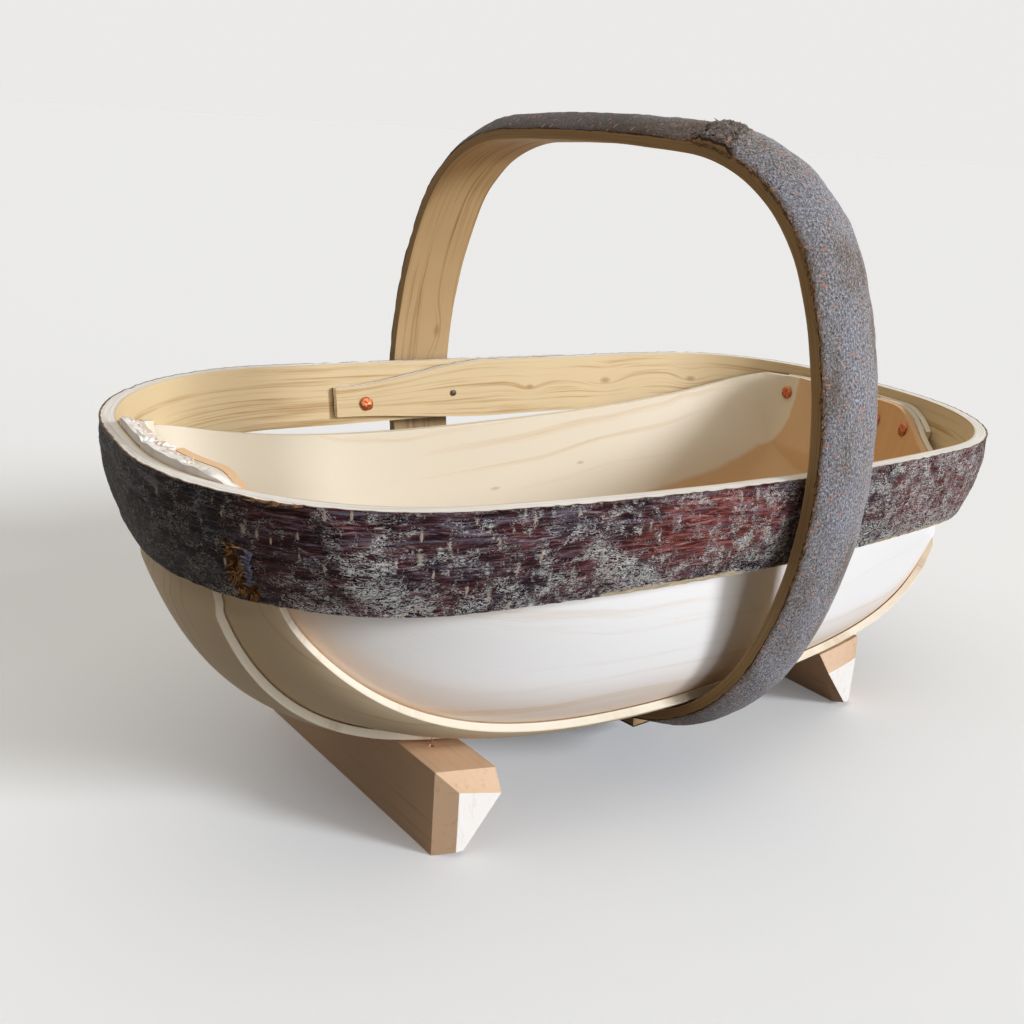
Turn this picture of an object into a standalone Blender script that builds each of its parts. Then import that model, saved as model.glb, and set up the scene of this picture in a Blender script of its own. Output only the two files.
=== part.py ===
"""Garden trug: two bent chestnut straps, five thin willow boards, two wedge feet, copper tacks.

The rim is one cleft strap bent into a long loop and lapped inside the back.  The handle is a second
strap bent into an upright loop that passes outside the rim and under the boards, lapped underneath.
Five boards are bent lengthwise into a boat and tacked inside the rim at both ends.
Metres, +X along the trug, -Y the front, +Z up, origin on the floor under the middle.
"""

import bmesh
import bpy
import numpy as np

# The rim loop, measured along its outer top edge.
RIM_HALF_LENGTH = 0.220
RIM_HALF_WIDTH = 0.1205
RIM_CORNER_LEFT_FRONT = 0.108
RIM_CORNER_LEFT_BACK = 0.0995
RIM_CORNER_RIGHT_FRONT = 0.1015
RIM_CORNER_RIGHT_BACK = 0.0855
RIM_FRONT_SWEEP_DEGREES = 8.2
RIM_BACK_SWEEP_DEGREES = 1.0
RIM_LEFT_SWEEP_DEGREES = 1.1
RIM_RIGHT_SWEEP_DEGREES = 7.3
RIM_SKEW_SHARE = 0.135
RIM_TOP_HEIGHT = 0.1486
RIM_END_TILT = 0.0072
RIM_DEPTH_FRONT = 0.037
RIM_DEPTH_BACK = 0.029
RIM_THICKNESS = 0.006
RIM_CROWN = 0.0025
RIM_FLARE = 0.006

# The rim's lap inside the back, measured along the strap from the middle of the back.
RIM_LAP_TAIL = 0.092
RIM_LAP_TOE = 0.060
RIM_LAP_EASE = 0.030
RIM_TAIL_DROP = 0.0106
RIM_TAIL_DROP_LENGTH = 0.095
RIM_TAIL_RISE = 0.0045
RIM_TAIL_THICKNESS = 0.0035
RIM_TOE_THICKNESS = 0.0018

# The handle loop, measured along its outer edges.  Its legs stand just outside the rim.
HANDLE_TOP_HEIGHT = 0.268
HANDLE_MIDDLE_HEIGHT = 0.144
HANDLE_BOTTOM_HEIGHT = 0.0129
HANDLE_FRONT_SHOULDER_RADIUS = 0.0735
HANDLE_BACK_SHOULDER_RADIUS = 0.066
HANDLE_BILGE_RADIUS = 0.0855
HANDLE_TOP_SWEEP_DEGREES = 3.8
HANDLE_FRONT_LEG_SWEEP_DEGREES = 23
HANDLE_BACK_LEG_SWEEP_DEGREES = 25
HANDLE_BOTTOM_SWEEP_DEGREES = 18.6
HANDLE_SIDE_SWEEP_DEGREES = 25.4
HANDLE_STRAP_WIDTH = 0.0325
HANDLE_THICKNESS = 0.005
HANDLE_RIM_CLEARANCE = 0.0008
HANDLE_HALF_WIDTH = RIM_HALF_WIDTH + RIM_CROWN + HANDLE_RIM_CLEARANCE + HANDLE_THICKNESS
HANDLE_CROWN = 0.0054
HANDLE_TOP_CROWN = 0.0074
HANDLE_CROWN_RISE_START = 0.190
HANDLE_CROWN_RISE_END = 0.262
HANDLE_OFFSET = -0.0036
HANDLE_SKEW_SHARE = -0.109
HANDLE_LEAN_SHARE = 0.017

# The handle's lap under the boards, measured along the strap from its lowest point.
HANDLE_LAP_TAIL = 0.036
HANDLE_FLAP_LENGTH = 0.046
HANDLE_LAP_EASE = 0.028
HANDLE_LAP_THICKNESS = 0.0036
HANDLE_LAP_CROWN = 0.0008
HANDLE_FLAP_NARROWING = 0.013

# The five boards.
BOARD_THICKNESS = 0.0032
BOARD_RIM_SPACE = 0.0110
BOARD_RIM_DROP = 0.0306
BOARD_SIDE_HALF_WIDTH = RIM_HALF_WIDTH - RIM_THICKNESS - BOARD_RIM_SPACE
BOARD_SIDE_HEIGHT = RIM_TOP_HEIGHT - BOARD_RIM_DROP
BOARD_LEAN_START_SHARE = 0.12
BOARD_LEAN_FULL_SHARE = 1.15
BOARD_LEFT_FULL_SHARE = 0.70
BOARD_LEFT_DROP_SHARE = 0.82
BOARD_RIGHT_FULL_SHARE = 0.87
BOARD_RIGHT_DROP_SHARE = 0.94
BOARD_WALL_REACH = 0.048
BOARD_WALL_START_SHARE = 0.72
BOARD_WALL_DROP_SHARE = 0.5
BOARD_RELEASE_SHARE = 1.25
BOARD_RELEASE_RATE_SHARE = 0.6
BOARD_CROWDING_SHARE = 0.70
WALL_NORMAL_START_SHARE = 0.9
WALL_NORMAL_END_SHARE = 1.7

# The boards' ends: reach along the rim each way, and height below the rim's top edge.
LEFT_FRONT_SPAN = 0.088
LEFT_BACK_SPAN = 0.088
RIGHT_FRONT_SPAN = 0.088
RIGHT_BACK_SPAN = 0.086
LEFT_END_DROP = -0.0015
RIGHT_END_DROP = 0.0045
LEFT_FRONT_CORNER_DROP = 0.012
LEFT_BACK_CORNER_DROP = 0.014
RIGHT_FRONT_CORNER_DROP = 0.031
RIGHT_BACK_CORNER_DROP = 0.0064
LEFT_FRONT_FALL_SHARE = 0.60
LEFT_BACK_FALL_SHARE = 0.20
RIGHT_FRONT_FALL_SHARE = 0.22
RIGHT_BACK_FALL_SHARE = 0.60

# Board edges across the half girth, as shares: at the middle and at the ends.
CENTRE_MIDDLE_SHARE = 0.272
CENTRE_END_SHARE = 0.54
SECOND_LOWER_MIDDLE_SHARE = 0.205
SECOND_LOWER_END_SHARE = 0.035
SECOND_UPPER_MIDDLE_SHARE = 0.535
SECOND_UPPER_END_SHARE = 0.83
SIDE_LOWER_MIDDLE_SHARE = 0.480
SIDE_LOWER_LEFT_SHARE = 0.24
SIDE_FRONT_RIGHT_SHARE = 0.05
SIDE_BACK_RIGHT_SHARE = -0.05
EDGE_SWEEP_START_SHARE = 0.15
EDGE_SWEEP_END_SHARE = 1.03
LAYER_START_SHARE = 0.01
LAYER_END_SHARE = 1.02

# The feet.
FOOT_OUTER_FACE = 0.1292
FOOT_TOP_WIDTH = 0.0285
FOOT_BOTTOM_WIDTH = 0.0120
FOOT_OUTER_HEIGHT = 0.0360
FOOT_INNER_HEIGHT = 0.0300
FOOT_LENGTH = 0.147
FOOT_LEFT_FRONT = 0.076
FOOT_RIGHT_FRONT = 0.071
FOOT_HOLLOW_REACH = 0.056
FOOT_END_CHAMFER = 0.0060
FOOT_TOP_CHAMFER = 0.0080
FOOT_SIDE_CHAMFER = 0.0075
FOOT_INNER_CHAMFER = 0.0010
FOOT_SOLE_CHAMFER = 0.0020

# The copper tacks, and the thin pins that hold the handle to the rim.
TACK_SHANK_RADIUS = 0.0011
TACK_HEAD_RADIUS = 0.0038
TACK_HEAD_HEIGHT = 0.0013
TACK_TIP_SHARE = 0.35
TACK_DOME_SHARE = 0.55
TACK_END_DEPTH = 0.0135
TACK_HANDLE_DEPTH = 0.0110
TACK_FOOT_DEPTH = 0.0180
TACK_LAP_DEPTH = 0.0075
TACK_END_DROP = 0.0150
TACK_RIGHT_SHARES = (0.75, 0.42, -0.104, -0.395)
TACK_LEFT_SHARES = (0.64, 0.34, -0.34, -0.64)
TACK_HANDLE_SHARES = (0.58, 0.17, -0.17, -0.58)
TACK_FOOT_INSET = 0.0130
TACK_LAP_ALONG = -0.0755
TACK_LAP_DROP = 0.0188
PIN_SHANK_RADIUS = 0.0008
PIN_HEAD_RADIUS = 0.0017
PIN_HEAD_HEIGHT = 0.0006
PIN_BITE = 0.0035
PIN_DROP = 0.0160
PIN_ALONG = -0.0225

# Clearances, and how finely the shapes are cut into faces.
GAP = 0.0003
LAYER_GAP = 0.0007
TACK_LIFT = 0.0006
CUT_OVERRUN = 0.0040
OUTLINE_POINTS = 160
RIM_STATIONS = 120
HANDLE_STATIONS = 104
BARK_FACETS = 6
BOARD_STATIONS = 40
CENTRE_STRIPS = 10
SECOND_STRIPS = 9
SIDE_STRIPS = 15
FOOT_TOP_FACETS = 4
FOOT_LENGTH_FACETS = 14
TACK_SIDES = 8
SEARCH_ROUNDS = 14
NUDGE_SHARE = 0.001
SEAT_NUDGE_SHARE = 0.015
SEARCH_LIMIT_SHARE = 0.1
END_GUESS_SHARE = 0.95
SHARP_DEGREES = 35


def ease(value, start, end):
    """Smooth step: 0 before start, 1 after end, 3f^2 - 2f^3 between them."""
    fraction = np.clip((value - start) / (end - start), 0, 1)
    return fraction * fraction * (3 - 2 * fraction)


def three_arc_quarter(half_length, half_width, corner_radius, side_degrees, end_degrees):
    """Quarter outline from (0, half_width) to (half_length, 0) as three tangent arcs."""
    side = np.radians(side_degrees)
    end = np.radians(end_degrees)
    turns = np.array([[np.sin(side), 1 - np.cos(end)], [1 - np.cos(side), np.sin(end)]])
    reach = np.array([half_length - corner_radius, half_width - corner_radius])
    side_extra, end_extra = np.linalg.solve(turns, reach)
    side_radius = side_extra + corner_radius
    end_radius = end_extra + corner_radius
    along_side = np.linspace(0, side, OUTLINE_POINTS)
    along_corner = np.linspace(side, np.pi / 2 - end, OUTLINE_POINTS)[1:]
    along_end = np.linspace(np.pi / 2 - end, np.pi / 2, OUTLINE_POINTS)[1:]
    corner_x = side_extra * np.sin(side)
    corner_y = half_width - side_radius + side_extra * np.cos(side)
    first = np.stack([side_radius * np.sin(along_side),
                      half_width - side_radius + side_radius * np.cos(along_side)], 1)
    second = np.stack([corner_x + corner_radius * np.sin(along_corner),
                       corner_y + corner_radius * np.cos(along_corner)], 1)
    third = np.stack([half_length - end_radius + end_radius * np.sin(along_end),
                      end_radius * np.cos(along_end)], 1)
    return np.concatenate([first, second, third])


class Track:
    """A closed flat loop that gives its point and inward normal at any distance along it."""

    def __init__(self, points):
        ahead = np.roll(points, -1, axis=0)
        kept = points[np.hypot(*(ahead - points).T) > 0]
        self.points = np.concatenate([kept, kept[:1]])
        self.steps = np.hypot(*np.diff(self.points, axis=0).T)
        self.distance = np.concatenate([[0], np.cumsum(self.steps)])
        self.length = self.distance[-1]
        turn = np.roll(kept, -1, axis=0) - np.roll(kept, 1, axis=0)
        turn = turn / np.hypot(*turn.T)[:, None]
        inward = np.stack([turn[:, 1], -turn[:, 0]], 1)
        self.inward = np.concatenate([inward, inward[:1]])

    def at(self, distance):
        """Point and inward normal at a distance along the loop, which may wrap round."""
        wrapped = np.mod(distance, self.length)
        point = np.stack([np.interp(wrapped, self.distance, self.points[:, k]) for k in (0, 1)], -1)
        inward = np.stack([np.interp(wrapped, self.distance, self.inward[:, k]) for k in (0, 1)], -1)
        return point, inward / np.linalg.norm(inward, axis=-1, keepdims=True)

    def nearest(self, places):
        """For each place: its inward distance from the loop, and the inward normal there."""
        offsets = places[:, None, :] - self.points[None, :-1, :]
        index = np.argmin((offsets ** 2).sum(2), axis=1)
        inward = self.inward[index]
        depth = ((places - self.points[index]) * inward).sum(1)
        return depth, inward


def rim_track():
    """The rim's outer top edge, clockwise seen from above, starting at the middle of the back."""
    def quarter(corner_radius, side_degrees, end_degrees):
        return three_arc_quarter(RIM_HALF_LENGTH, RIM_HALF_WIDTH, corner_radius,
                                 side_degrees, end_degrees)

    right_back = quarter(RIM_CORNER_RIGHT_BACK, RIM_BACK_SWEEP_DEGREES, RIM_RIGHT_SWEEP_DEGREES)
    right_front = quarter(RIM_CORNER_RIGHT_FRONT, RIM_FRONT_SWEEP_DEGREES, RIM_RIGHT_SWEEP_DEGREES)
    left_front = quarter(RIM_CORNER_LEFT_FRONT, RIM_FRONT_SWEEP_DEGREES, RIM_LEFT_SWEEP_DEGREES)
    left_back = quarter(RIM_CORNER_LEFT_BACK, RIM_BACK_SWEEP_DEGREES, RIM_LEFT_SWEEP_DEGREES)
    points = np.concatenate([right_back,
                             (right_front * [1, -1])[::-1][1:],
                             (left_front * [-1, -1])[1:],
                             (left_back * [-1, 1])[::-1][1:-1]])
    points[:, 0] += RIM_SKEW_SHARE * points[:, 1]
    return Track(points)


def handle_track():
    """The handle's outer edge in the YZ plane, from its lowest point round by the front."""
    front, back = (three_arc_quarter(HANDLE_HALF_WIDTH, HANDLE_TOP_HEIGHT - HANDLE_MIDDLE_HEIGHT,
                                     radius, HANDLE_TOP_SWEEP_DEGREES, sweep)
                   for radius, sweep in (
                       (HANDLE_FRONT_SHOULDER_RADIUS, HANDLE_FRONT_LEG_SWEEP_DEGREES),
                       (HANDLE_BACK_SHOULDER_RADIUS, HANDLE_BACK_LEG_SWEEP_DEGREES)))
    below = three_arc_quarter(HANDLE_HALF_WIDTH, HANDLE_MIDDLE_HEIGHT - HANDLE_BOTTOM_HEIGHT,
                              HANDLE_BILGE_RADIUS, HANDLE_BOTTOM_SWEEP_DEGREES,
                              HANDLE_SIDE_SWEEP_DEGREES)
    points = np.concatenate([below * [-1, -1],
                             (front * [-1, 1])[::-1][1:],
                             back[1:],
                             (below * [1, -1])[::-1][1:-1]])
    points[:, 1] += HANDLE_MIDDLE_HEIGHT
    return Track(points)


RIM = rim_track()
HANDLE = handle_track()


def rim_top(place):
    """Height of the rim's top edge: level across, rising to the left end."""
    return RIM_TOP_HEIGHT - RIM_END_TILT * place[..., 0] / RIM_HALF_LENGTH


def rim_depth(place):
    """Depth of the strap: full along the front and the ends, narrower along the back."""
    back = ease(place[..., 1] / RIM_HALF_WIDTH, 0, 1)
    return RIM_DEPTH_FRONT + (RIM_DEPTH_BACK - RIM_DEPTH_FRONT) * back


def make_object(name, points, faces, material):
    """A closed solid from points and faces, its faces turned outwards."""
    mesh = bpy.data.meshes.new(name)
    mesh.from_pydata([tuple(map(float, point)) for point in points], [], faces)
    mesh.validate()
    mesh.materials.append(material)
    solid = bmesh.new()
    solid.from_mesh(mesh)
    bmesh.ops.recalc_face_normals(solid, faces=solid.faces)
    if solid.calc_volume(signed=True) < 0:
        bmesh.ops.reverse_faces(solid, faces=solid.faces)
    solid.to_mesh(mesh)
    solid.free()
    mesh.shade_smooth()
    mesh.set_sharp_from_angle(angle=np.radians(SHARP_DEGREES))
    item = bpy.data.objects.new(name, mesh)
    bpy.context.scene.collection.objects.link(item)
    return item


def tube_faces(stations, ring, first=0):
    """Faces of a tube of rings closed at both ends, for points numbered from first."""
    faces = []
    for station in range(stations - 1):
        for corner in range(ring):
            ahead = (corner + 1) % ring
            here = first + station * ring
            there = here + ring
            faces.append((here + corner, there + corner, there + ahead, here + ahead))
    faces.append(tuple(first + corner for corner in range(ring)))
    faces.append(tuple(first + (stations - 1) * ring + corner for corner in reversed(range(ring))))
    return faces


def finish(name, colour, roughness, metallic):
    """A Principled material of one colour."""
    material = bpy.data.materials.new(name)
    material.use_nodes = True
    shader = material.node_tree.nodes["Principled BSDF"]
    shader.inputs["Base Color"].default_value = (*colour, 1)
    shader.inputs["Roughness"].default_value = roughness
    shader.inputs["Metallic"].default_value = metallic
    return material


def rim_strap(along):
    """Inset of the strap's outer face from the outline, its thickness and its crown."""
    past_toe = along - RIM_LAP_TOE
    lap = RIM_LAP_TAIL + RIM_LAP_TOE
    scarf = RIM_THICKNESS - RIM_TOE_THICKNESS
    tail_share = np.clip((along + RIM_LAP_TAIL) / lap, 0, 1)
    toe_share = np.clip((RIM.length + RIM_LAP_TOE - along) / lap, 0, 1)
    tail = RIM_TAIL_THICKNESS + (RIM_THICKNESS - RIM_TAIL_THICKNESS) * tail_share
    thickness = np.where(past_toe < 0, tail, RIM_TOE_THICKNESS + scarf * toe_share)
    under = RIM_THICKNESS - scarf * tail_share + GAP
    joggle = (RIM_TOE_THICKNESS + GAP) * (1 - ease(past_toe, 0, RIM_LAP_EASE))
    inset = np.where(past_toe < 0, under, joggle)
    crown = RIM_CROWN * ease(past_toe, 0, RIM_LAP_EASE)
    return inset, thickness, crown


def rim_hoop(material):
    """One strap, a little more than once round: tail inside the back, toe outside it."""
    along = np.linspace(-RIM_LAP_TAIL, RIM.length + RIM_LAP_TOE, RIM_STATIONS)
    place, inward = RIM.at(along)
    inset, thickness, crown = rim_strap(along)
    from_tail = ease(along + RIM_LAP_TAIL, 0, RIM_TAIL_DROP_LENGTH)
    tail_drop = RIM_TAIL_DROP * (1 - from_tail)
    tail_rise = RIM_TAIL_RISE * (1 - from_tail)
    depth = rim_depth(place)
    down_share = np.linspace(0, 1, BARK_FACETS + 1)
    bulge_share = 1 - (2 * down_share - 1) ** 2
    rings = []
    for step in range(RIM_STATIONS):
        top = tail_drop[step]
        bottom = depth[step] - tail_rise[step]
        down = np.concatenate([top + (bottom - top) * down_share, [bottom, top]])
        across = np.concatenate([inset[step] - crown[step] * bulge_share,
                                 [inset[step] + thickness[step]] * 2])
        across = across + RIM_FLARE * down / RIM_DEPTH_FRONT
        flat = place[step] + inward[step] * across[:, None]
        rings.append(np.column_stack([flat, rim_top(place[step]) - down]))
    faces = tube_faces(RIM_STATIONS, BARK_FACETS + 3)
    return make_object("rim_hoop", np.concatenate(rings), faces, material)


def handle_hoop(material):
    """One upright strap: up the front, over, down the back, and forward again as a flap."""
    end = HANDLE.length + HANDLE_FLAP_LENGTH
    along = np.linspace(-HANDLE_LAP_TAIL, end, HANDLE_STATIONS)
    place, inward = HANDLE.at(along)
    flap_start = HANDLE.length + HANDLE_LAP_TAIL / 2
    straight, straight_inward = HANDLE.at(flap_start)
    beyond = np.maximum(along - flap_start, 0)[:, None]
    place = np.where(beyond > 0, straight - np.array([1, 0]) * beyond, place)
    inward = np.where(beyond > 0, straight_inward, inward)
    inner = 1 - ease(along, HANDLE_FLAP_LENGTH, HANDLE_FLAP_LENGTH + HANDLE_LAP_EASE)
    outer_start = HANDLE.length - HANDLE_LAP_TAIL
    outer = ease(along, outer_start - HANDLE_LAP_EASE, outer_start)
    thin = np.maximum(inner, outer)
    thickness = HANDLE_THICKNESS + (HANDLE_LAP_THICKNESS - HANDLE_THICKNESS) * thin
    rise = ease(place[:, 1], HANDLE_CROWN_RISE_START, HANDLE_CROWN_RISE_END)
    full = HANDLE_CROWN + (HANDLE_TOP_CROWN - HANDLE_CROWN) * rise
    crown = full + (HANDLE_LAP_CROWN - full) * thin
    inner_face = HANDLE_THICKNESS - (HANDLE_LAP_THICKNESS + HANDLE_LAP_CROWN + GAP) * outer
    width_share = np.linspace(-1, 1, BARK_FACETS + 1)
    bulge_share = 1 - width_share ** 2
    narrowing = HANDLE_FLAP_NARROWING * ease(along, HANDLE.length - HANDLE_FLAP_LENGTH, end)
    rings = []
    for step in range(HANDLE_STATIONS):
        low = narrowing[step] * 2 / HANDLE_STRAP_WIDTH - 1
        shares = low + (1 - low) * (width_share + 1) / 2
        shares = np.concatenate([shares, [1, low]])
        outer_offset = inner_face[step] - thickness[step] - crown[step] * bulge_share
        offset = np.concatenate([outer_offset, [inner_face[step]] * 2])
        flat = place[step] + inward[step] * offset[:, None]
        lean = HANDLE_LEAN_SHARE * (flat[:, 1] - HANDLE_MIDDLE_HEIGHT)
        x = HANDLE_OFFSET + shares * HANDLE_STRAP_WIDTH / 2 + HANDLE_SKEW_SHARE * flat[:, 0] + lean
        rings.append(np.column_stack([x, flat]))
    faces = tube_faces(HANDLE_STATIONS, BARK_FACETS + 3)
    return make_object("handle_hoop", np.concatenate(rings), faces, material)


def middle_section(share):
    """Half section of the boards' outer face at the middle: (y, z) at a share of its girth.

    It lies on the handle's inner face low down and leans in to pass inside the rim."""
    along = np.linspace(0, HANDLE.length / 2, OUTLINE_POINTS * 4)
    place, inward = HANDLE.at(along)
    bowl = place + inward * (HANDLE_THICKNESS + GAP)
    bowl = bowl[bowl[:, 1] < BOARD_SIDE_HEIGHT]
    rise = (bowl[:, 1] - bowl[0, 1]) / (BOARD_SIDE_HEIGHT - bowl[0, 1])
    lean = abs(bowl[-1, 0]) - BOARD_SIDE_HALF_WIDTH
    lean_share = ease(rise, BOARD_LEAN_START_SHARE, BOARD_LEAN_FULL_SHARE)
    width = np.abs(bowl[:, 0]) - lean * lean_share / lean_share[-1]
    steps = np.hypot(np.diff(width), np.diff(bowl[:, 1]))
    girth = np.concatenate([[0], np.cumsum(steps)])
    wanted = np.abs(share) * girth[-1]
    return np.interp(wanted, girth, width), np.interp(wanted, girth, bowl[:, 1])


def end_place(share, right):
    """Where the boards' line of this share of the girth ends inside the rim, and the wall beyond."""
    sign = 1 if right else -1
    lengthwise = RIM.points[:-1, 0] * sign
    level = np.abs(RIM.points[:-1, 1])
    middle = RIM.distance[np.argmin(np.where(lengthwise > 0, level, RIM.length))]
    back = share > 0
    if right:
        span = np.where(back, RIGHT_BACK_SPAN, RIGHT_FRONT_SPAN)
        corner_drop = np.where(back, RIGHT_BACK_CORNER_DROP, RIGHT_FRONT_CORNER_DROP)
        fall_share = np.where(back, RIGHT_BACK_FALL_SHARE, RIGHT_FRONT_FALL_SHARE)
        end_drop = RIGHT_END_DROP
    else:
        span = np.where(back, LEFT_BACK_SPAN, LEFT_FRONT_SPAN)
        corner_drop = np.where(back, LEFT_BACK_CORNER_DROP, LEFT_FRONT_CORNER_DROP)
        fall_share = np.where(back, LEFT_BACK_FALL_SHARE, LEFT_FRONT_FALL_SHARE)
        end_drop = LEFT_END_DROP
    place, inward = RIM.at(middle - sign * share * span)
    flat = place + inward * (RIM_THICKNESS + GAP)
    drop = end_drop + (corner_drop - end_drop) * ease(np.abs(share), fall_share, 1)
    end = np.concatenate([flat, (rim_top(place) - drop)[..., None]], -1)
    place, inward = RIM.at(middle - sign * (share * span + np.sign(share) * BOARD_WALL_REACH))
    return end, place + inward * (RIM_THICKNESS + GAP)


def hull(along, share):
    """Outer face of the boat: along runs -1 to 1 end to end, share -1 to 1 front to back.

    Each line of equal share is two cubic Bezier curves, from the middle section to each end."""
    along, share = np.broadcast_arrays(along, share)
    width, height = middle_section(share)
    start = np.stack([np.zeros_like(width), width * np.sign(share), height], -1)
    points = np.zeros(along.shape + (3,))
    for right in (True, False):
        end, wall = end_place(share, right)
        full = BOARD_RIGHT_FULL_SHARE if right else BOARD_LEFT_FULL_SHARE
        drop = BOARD_RIGHT_DROP_SHARE if right else BOARD_LEFT_DROP_SHARE
        first = start.copy()
        first[..., 0] = start[..., 0] + full * (end[..., 0] - start[..., 0])
        fall = drop * (end[..., 2] - start[..., 2])
        plumb = end.copy()
        plumb[..., 2] = end[..., 2] - fall
        hugging = np.concatenate([wall, (end[..., 2] - fall * BOARD_WALL_DROP_SHARE)[..., None]], -1)
        side = ease(np.abs(share), BOARD_WALL_START_SHARE, 1)[..., None]
        second = plumb + (hugging - plumb) * side
        t = np.abs(along)[..., None]
        curve = ((1 - t) ** 3 * start + 3 * (1 - t) ** 2 * t * first
                 + 3 * (1 - t) * t ** 2 * second + t ** 3 * end)
        chosen = (along >= 0) if right else (along < 0)
        points = np.where(chosen[..., None], curve, points)
    return points


def hull_normal(along, share):
    """Unit normal of the boat's face, towards its inside: square to the rim where it lies on it."""
    lengthwise = hull(along + NUDGE_SHARE, share) - hull(along - NUDGE_SHARE, share)
    crosswise = hull(along, share + NUDGE_SHARE) - hull(along, share - NUDGE_SHARE)
    normal = np.cross(lengthwise, crosswise)
    normal = normal / np.linalg.norm(normal, axis=-1, keepdims=True)
    points = hull(along, share)
    _, inward = RIM.nearest(points.reshape(-1, 3)[:, :2])
    wall = np.column_stack([inward, np.zeros(len(inward))]).reshape(points.shape)
    down = (rim_top(points) - points[..., 2]) / RIM_DEPTH_FRONT
    free = ease(down, WALL_NORMAL_START_SHARE, WALL_NORMAL_END_SHARE)[..., None]
    normal = normal * free + wall * (1 - free)
    return normal / np.linalg.norm(normal, axis=-1, keepdims=True)


def pressed_inside_rim(points, clearance):
    """Moves points inwards where they would lie closer to the rim's inner face than clearance."""
    flat = points.reshape(-1, 3).copy()
    spare = np.broadcast_to(clearance, points.shape[:-1]).reshape(-1)
    depth_in, inward = RIM.nearest(flat[:, :2])
    down = (rim_top(flat) - flat[:, 2]) / RIM_DEPTH_FRONT
    below = np.maximum(down - BOARD_RELEASE_SHARE, 0) * BOARD_RELEASE_RATE_SHARE
    slope = np.clip(down, 0, BOARD_RELEASE_SHARE) - below
    needed = RIM_THICKNESS + RIM_FLARE * slope + spare
    push = np.maximum(needed - depth_in, 0)
    flat[:, :2] += inward * push[:, None]
    return flat.reshape(points.shape)


def shell(along, share, height):
    """Points at a height above the boat's outer face, kept clear of the rim."""
    height = np.broadcast_to(height, np.broadcast(along, share).shape)
    lifted = hull(along, share) + hull_normal(along, share) * height[..., None]
    return pressed_inside_rim(lifted, height + GAP)


def edge_share(middle, left, right, along):
    """A board edge's share of the girth: from its middle value to its value at each end."""
    end = np.where(along < 0, left, right)
    return middle + (end - middle) * ease(np.abs(along), EDGE_SWEEP_START_SHARE, EDGE_SWEEP_END_SHARE)


def centre_upper(along):
    return edge_share(CENTRE_MIDDLE_SHARE, CENTRE_END_SHARE, CENTRE_END_SHARE, along)


def centre_lower(along):
    return -centre_upper(along)


def second_lower(along):
    return edge_share(SECOND_LOWER_MIDDLE_SHARE, SECOND_LOWER_END_SHARE, SECOND_LOWER_END_SHARE, along)


def second_upper(along):
    return edge_share(SECOND_UPPER_MIDDLE_SHARE, SECOND_UPPER_END_SHARE, SECOND_UPPER_END_SHARE, along)


def side_front_lower(along):
    return edge_share(SIDE_LOWER_MIDDLE_SHARE, SIDE_LOWER_LEFT_SHARE, SIDE_FRONT_RIGHT_SHARE, along)


def side_back_lower(along):
    return edge_share(SIDE_LOWER_MIDDLE_SHARE, SIDE_LOWER_LEFT_SHARE, SIDE_BACK_RIGHT_SHARE, along)


def side_upper(along):
    return np.ones_like(along)


def layer_height(along, share, layer):
    """Height of a board's outer face above the hull: one step for each board under it."""
    step = BOARD_THICKNESS + LAYER_GAP
    size = np.abs(share)
    over_centre = step * (1 - ease(size, centre_upper(along) + LAYER_START_SHARE, second_upper(along)))
    over_second = step * (1 - ease(size, second_upper(along) + LAYER_START_SHARE, LAYER_END_SHARE))
    return over_centre * min(layer, 1) + over_second * max(layer - 1, 0)


def board(name, lower, upper, side, layer, strips, material):
    """A thin board of even thickness between two edge lines, following the hull."""
    along = np.linspace(-1, 1, BOARD_STATIONS + 1)
    along = (np.sign(along) * np.abs(along) ** BOARD_CROWDING_SHARE)[:, None]
    across = np.linspace(0, 1, strips + 1)[None, :]
    share = (lower(along) + (upper(along) - lower(along)) * across) * side
    height = layer_height(along, share, layer)
    outer = shell(along, share, height)
    inner = shell(along, share, height + BOARD_THICKNESS)
    rings = np.concatenate([outer, inner[:, ::-1]], 1)
    return make_object(name, rings.reshape(-1, 3), tube_faces(*rings.shape[:2]), material)


def find(axes, targets, guess):
    """Shares along and across at which the hull passes through the targets on two axes."""
    spot = np.array(guess)
    for _ in range(SEARCH_ROUNDS):
        here = hull(spot[:, 0], spot[:, 1])[:, axes]
        ahead = hull(spot[:, 0] + NUDGE_SHARE, spot[:, 1])[:, axes]
        aside = hull(spot[:, 0], spot[:, 1] + NUDGE_SHARE)[:, axes]
        slopes = np.stack([ahead - here, aside - here], -1) / NUDGE_SHARE
        change = np.linalg.solve(slopes, (targets - here)[..., None])[..., 0]
        spot = np.clip(spot + np.clip(change, -SEARCH_LIMIT_SHARE, SEARCH_LIMIT_SHARE), -1, 1)
    return spot


def inner_height(along, share):
    """Height of the innermost board's inner face above the hull."""
    size = np.abs(share)
    side_edge = np.where(share > 0, side_back_lower(along), side_front_lower(along))
    height = layer_height(along, share, 0)
    height = np.where(size > second_lower(along), layer_height(along, share, 1), height)
    height = np.where(size > side_edge, layer_height(along, share, 2), height)
    return height + BOARD_THICKNESS


def board_seats(axes, targets, guess):
    """Seat points and normals for tack heads on the innermost board at the given places."""
    along, share = find(axes, targets, guess).T

    def inner_face(ahead, aside):
        return shell(along + ahead, share + aside, inner_height(along + ahead, share + aside))

    lengthwise = inner_face(SEAT_NUDGE_SHARE, 0) - inner_face(-SEAT_NUDGE_SHARE, 0)
    crosswise = inner_face(0, SEAT_NUDGE_SHARE) - inner_face(0, -SEAT_NUDGE_SHARE)
    normal = np.cross(lengthwise, crosswise)
    return inner_face(0, 0), normal / np.linalg.norm(normal, axis=-1, keepdims=True)


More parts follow.
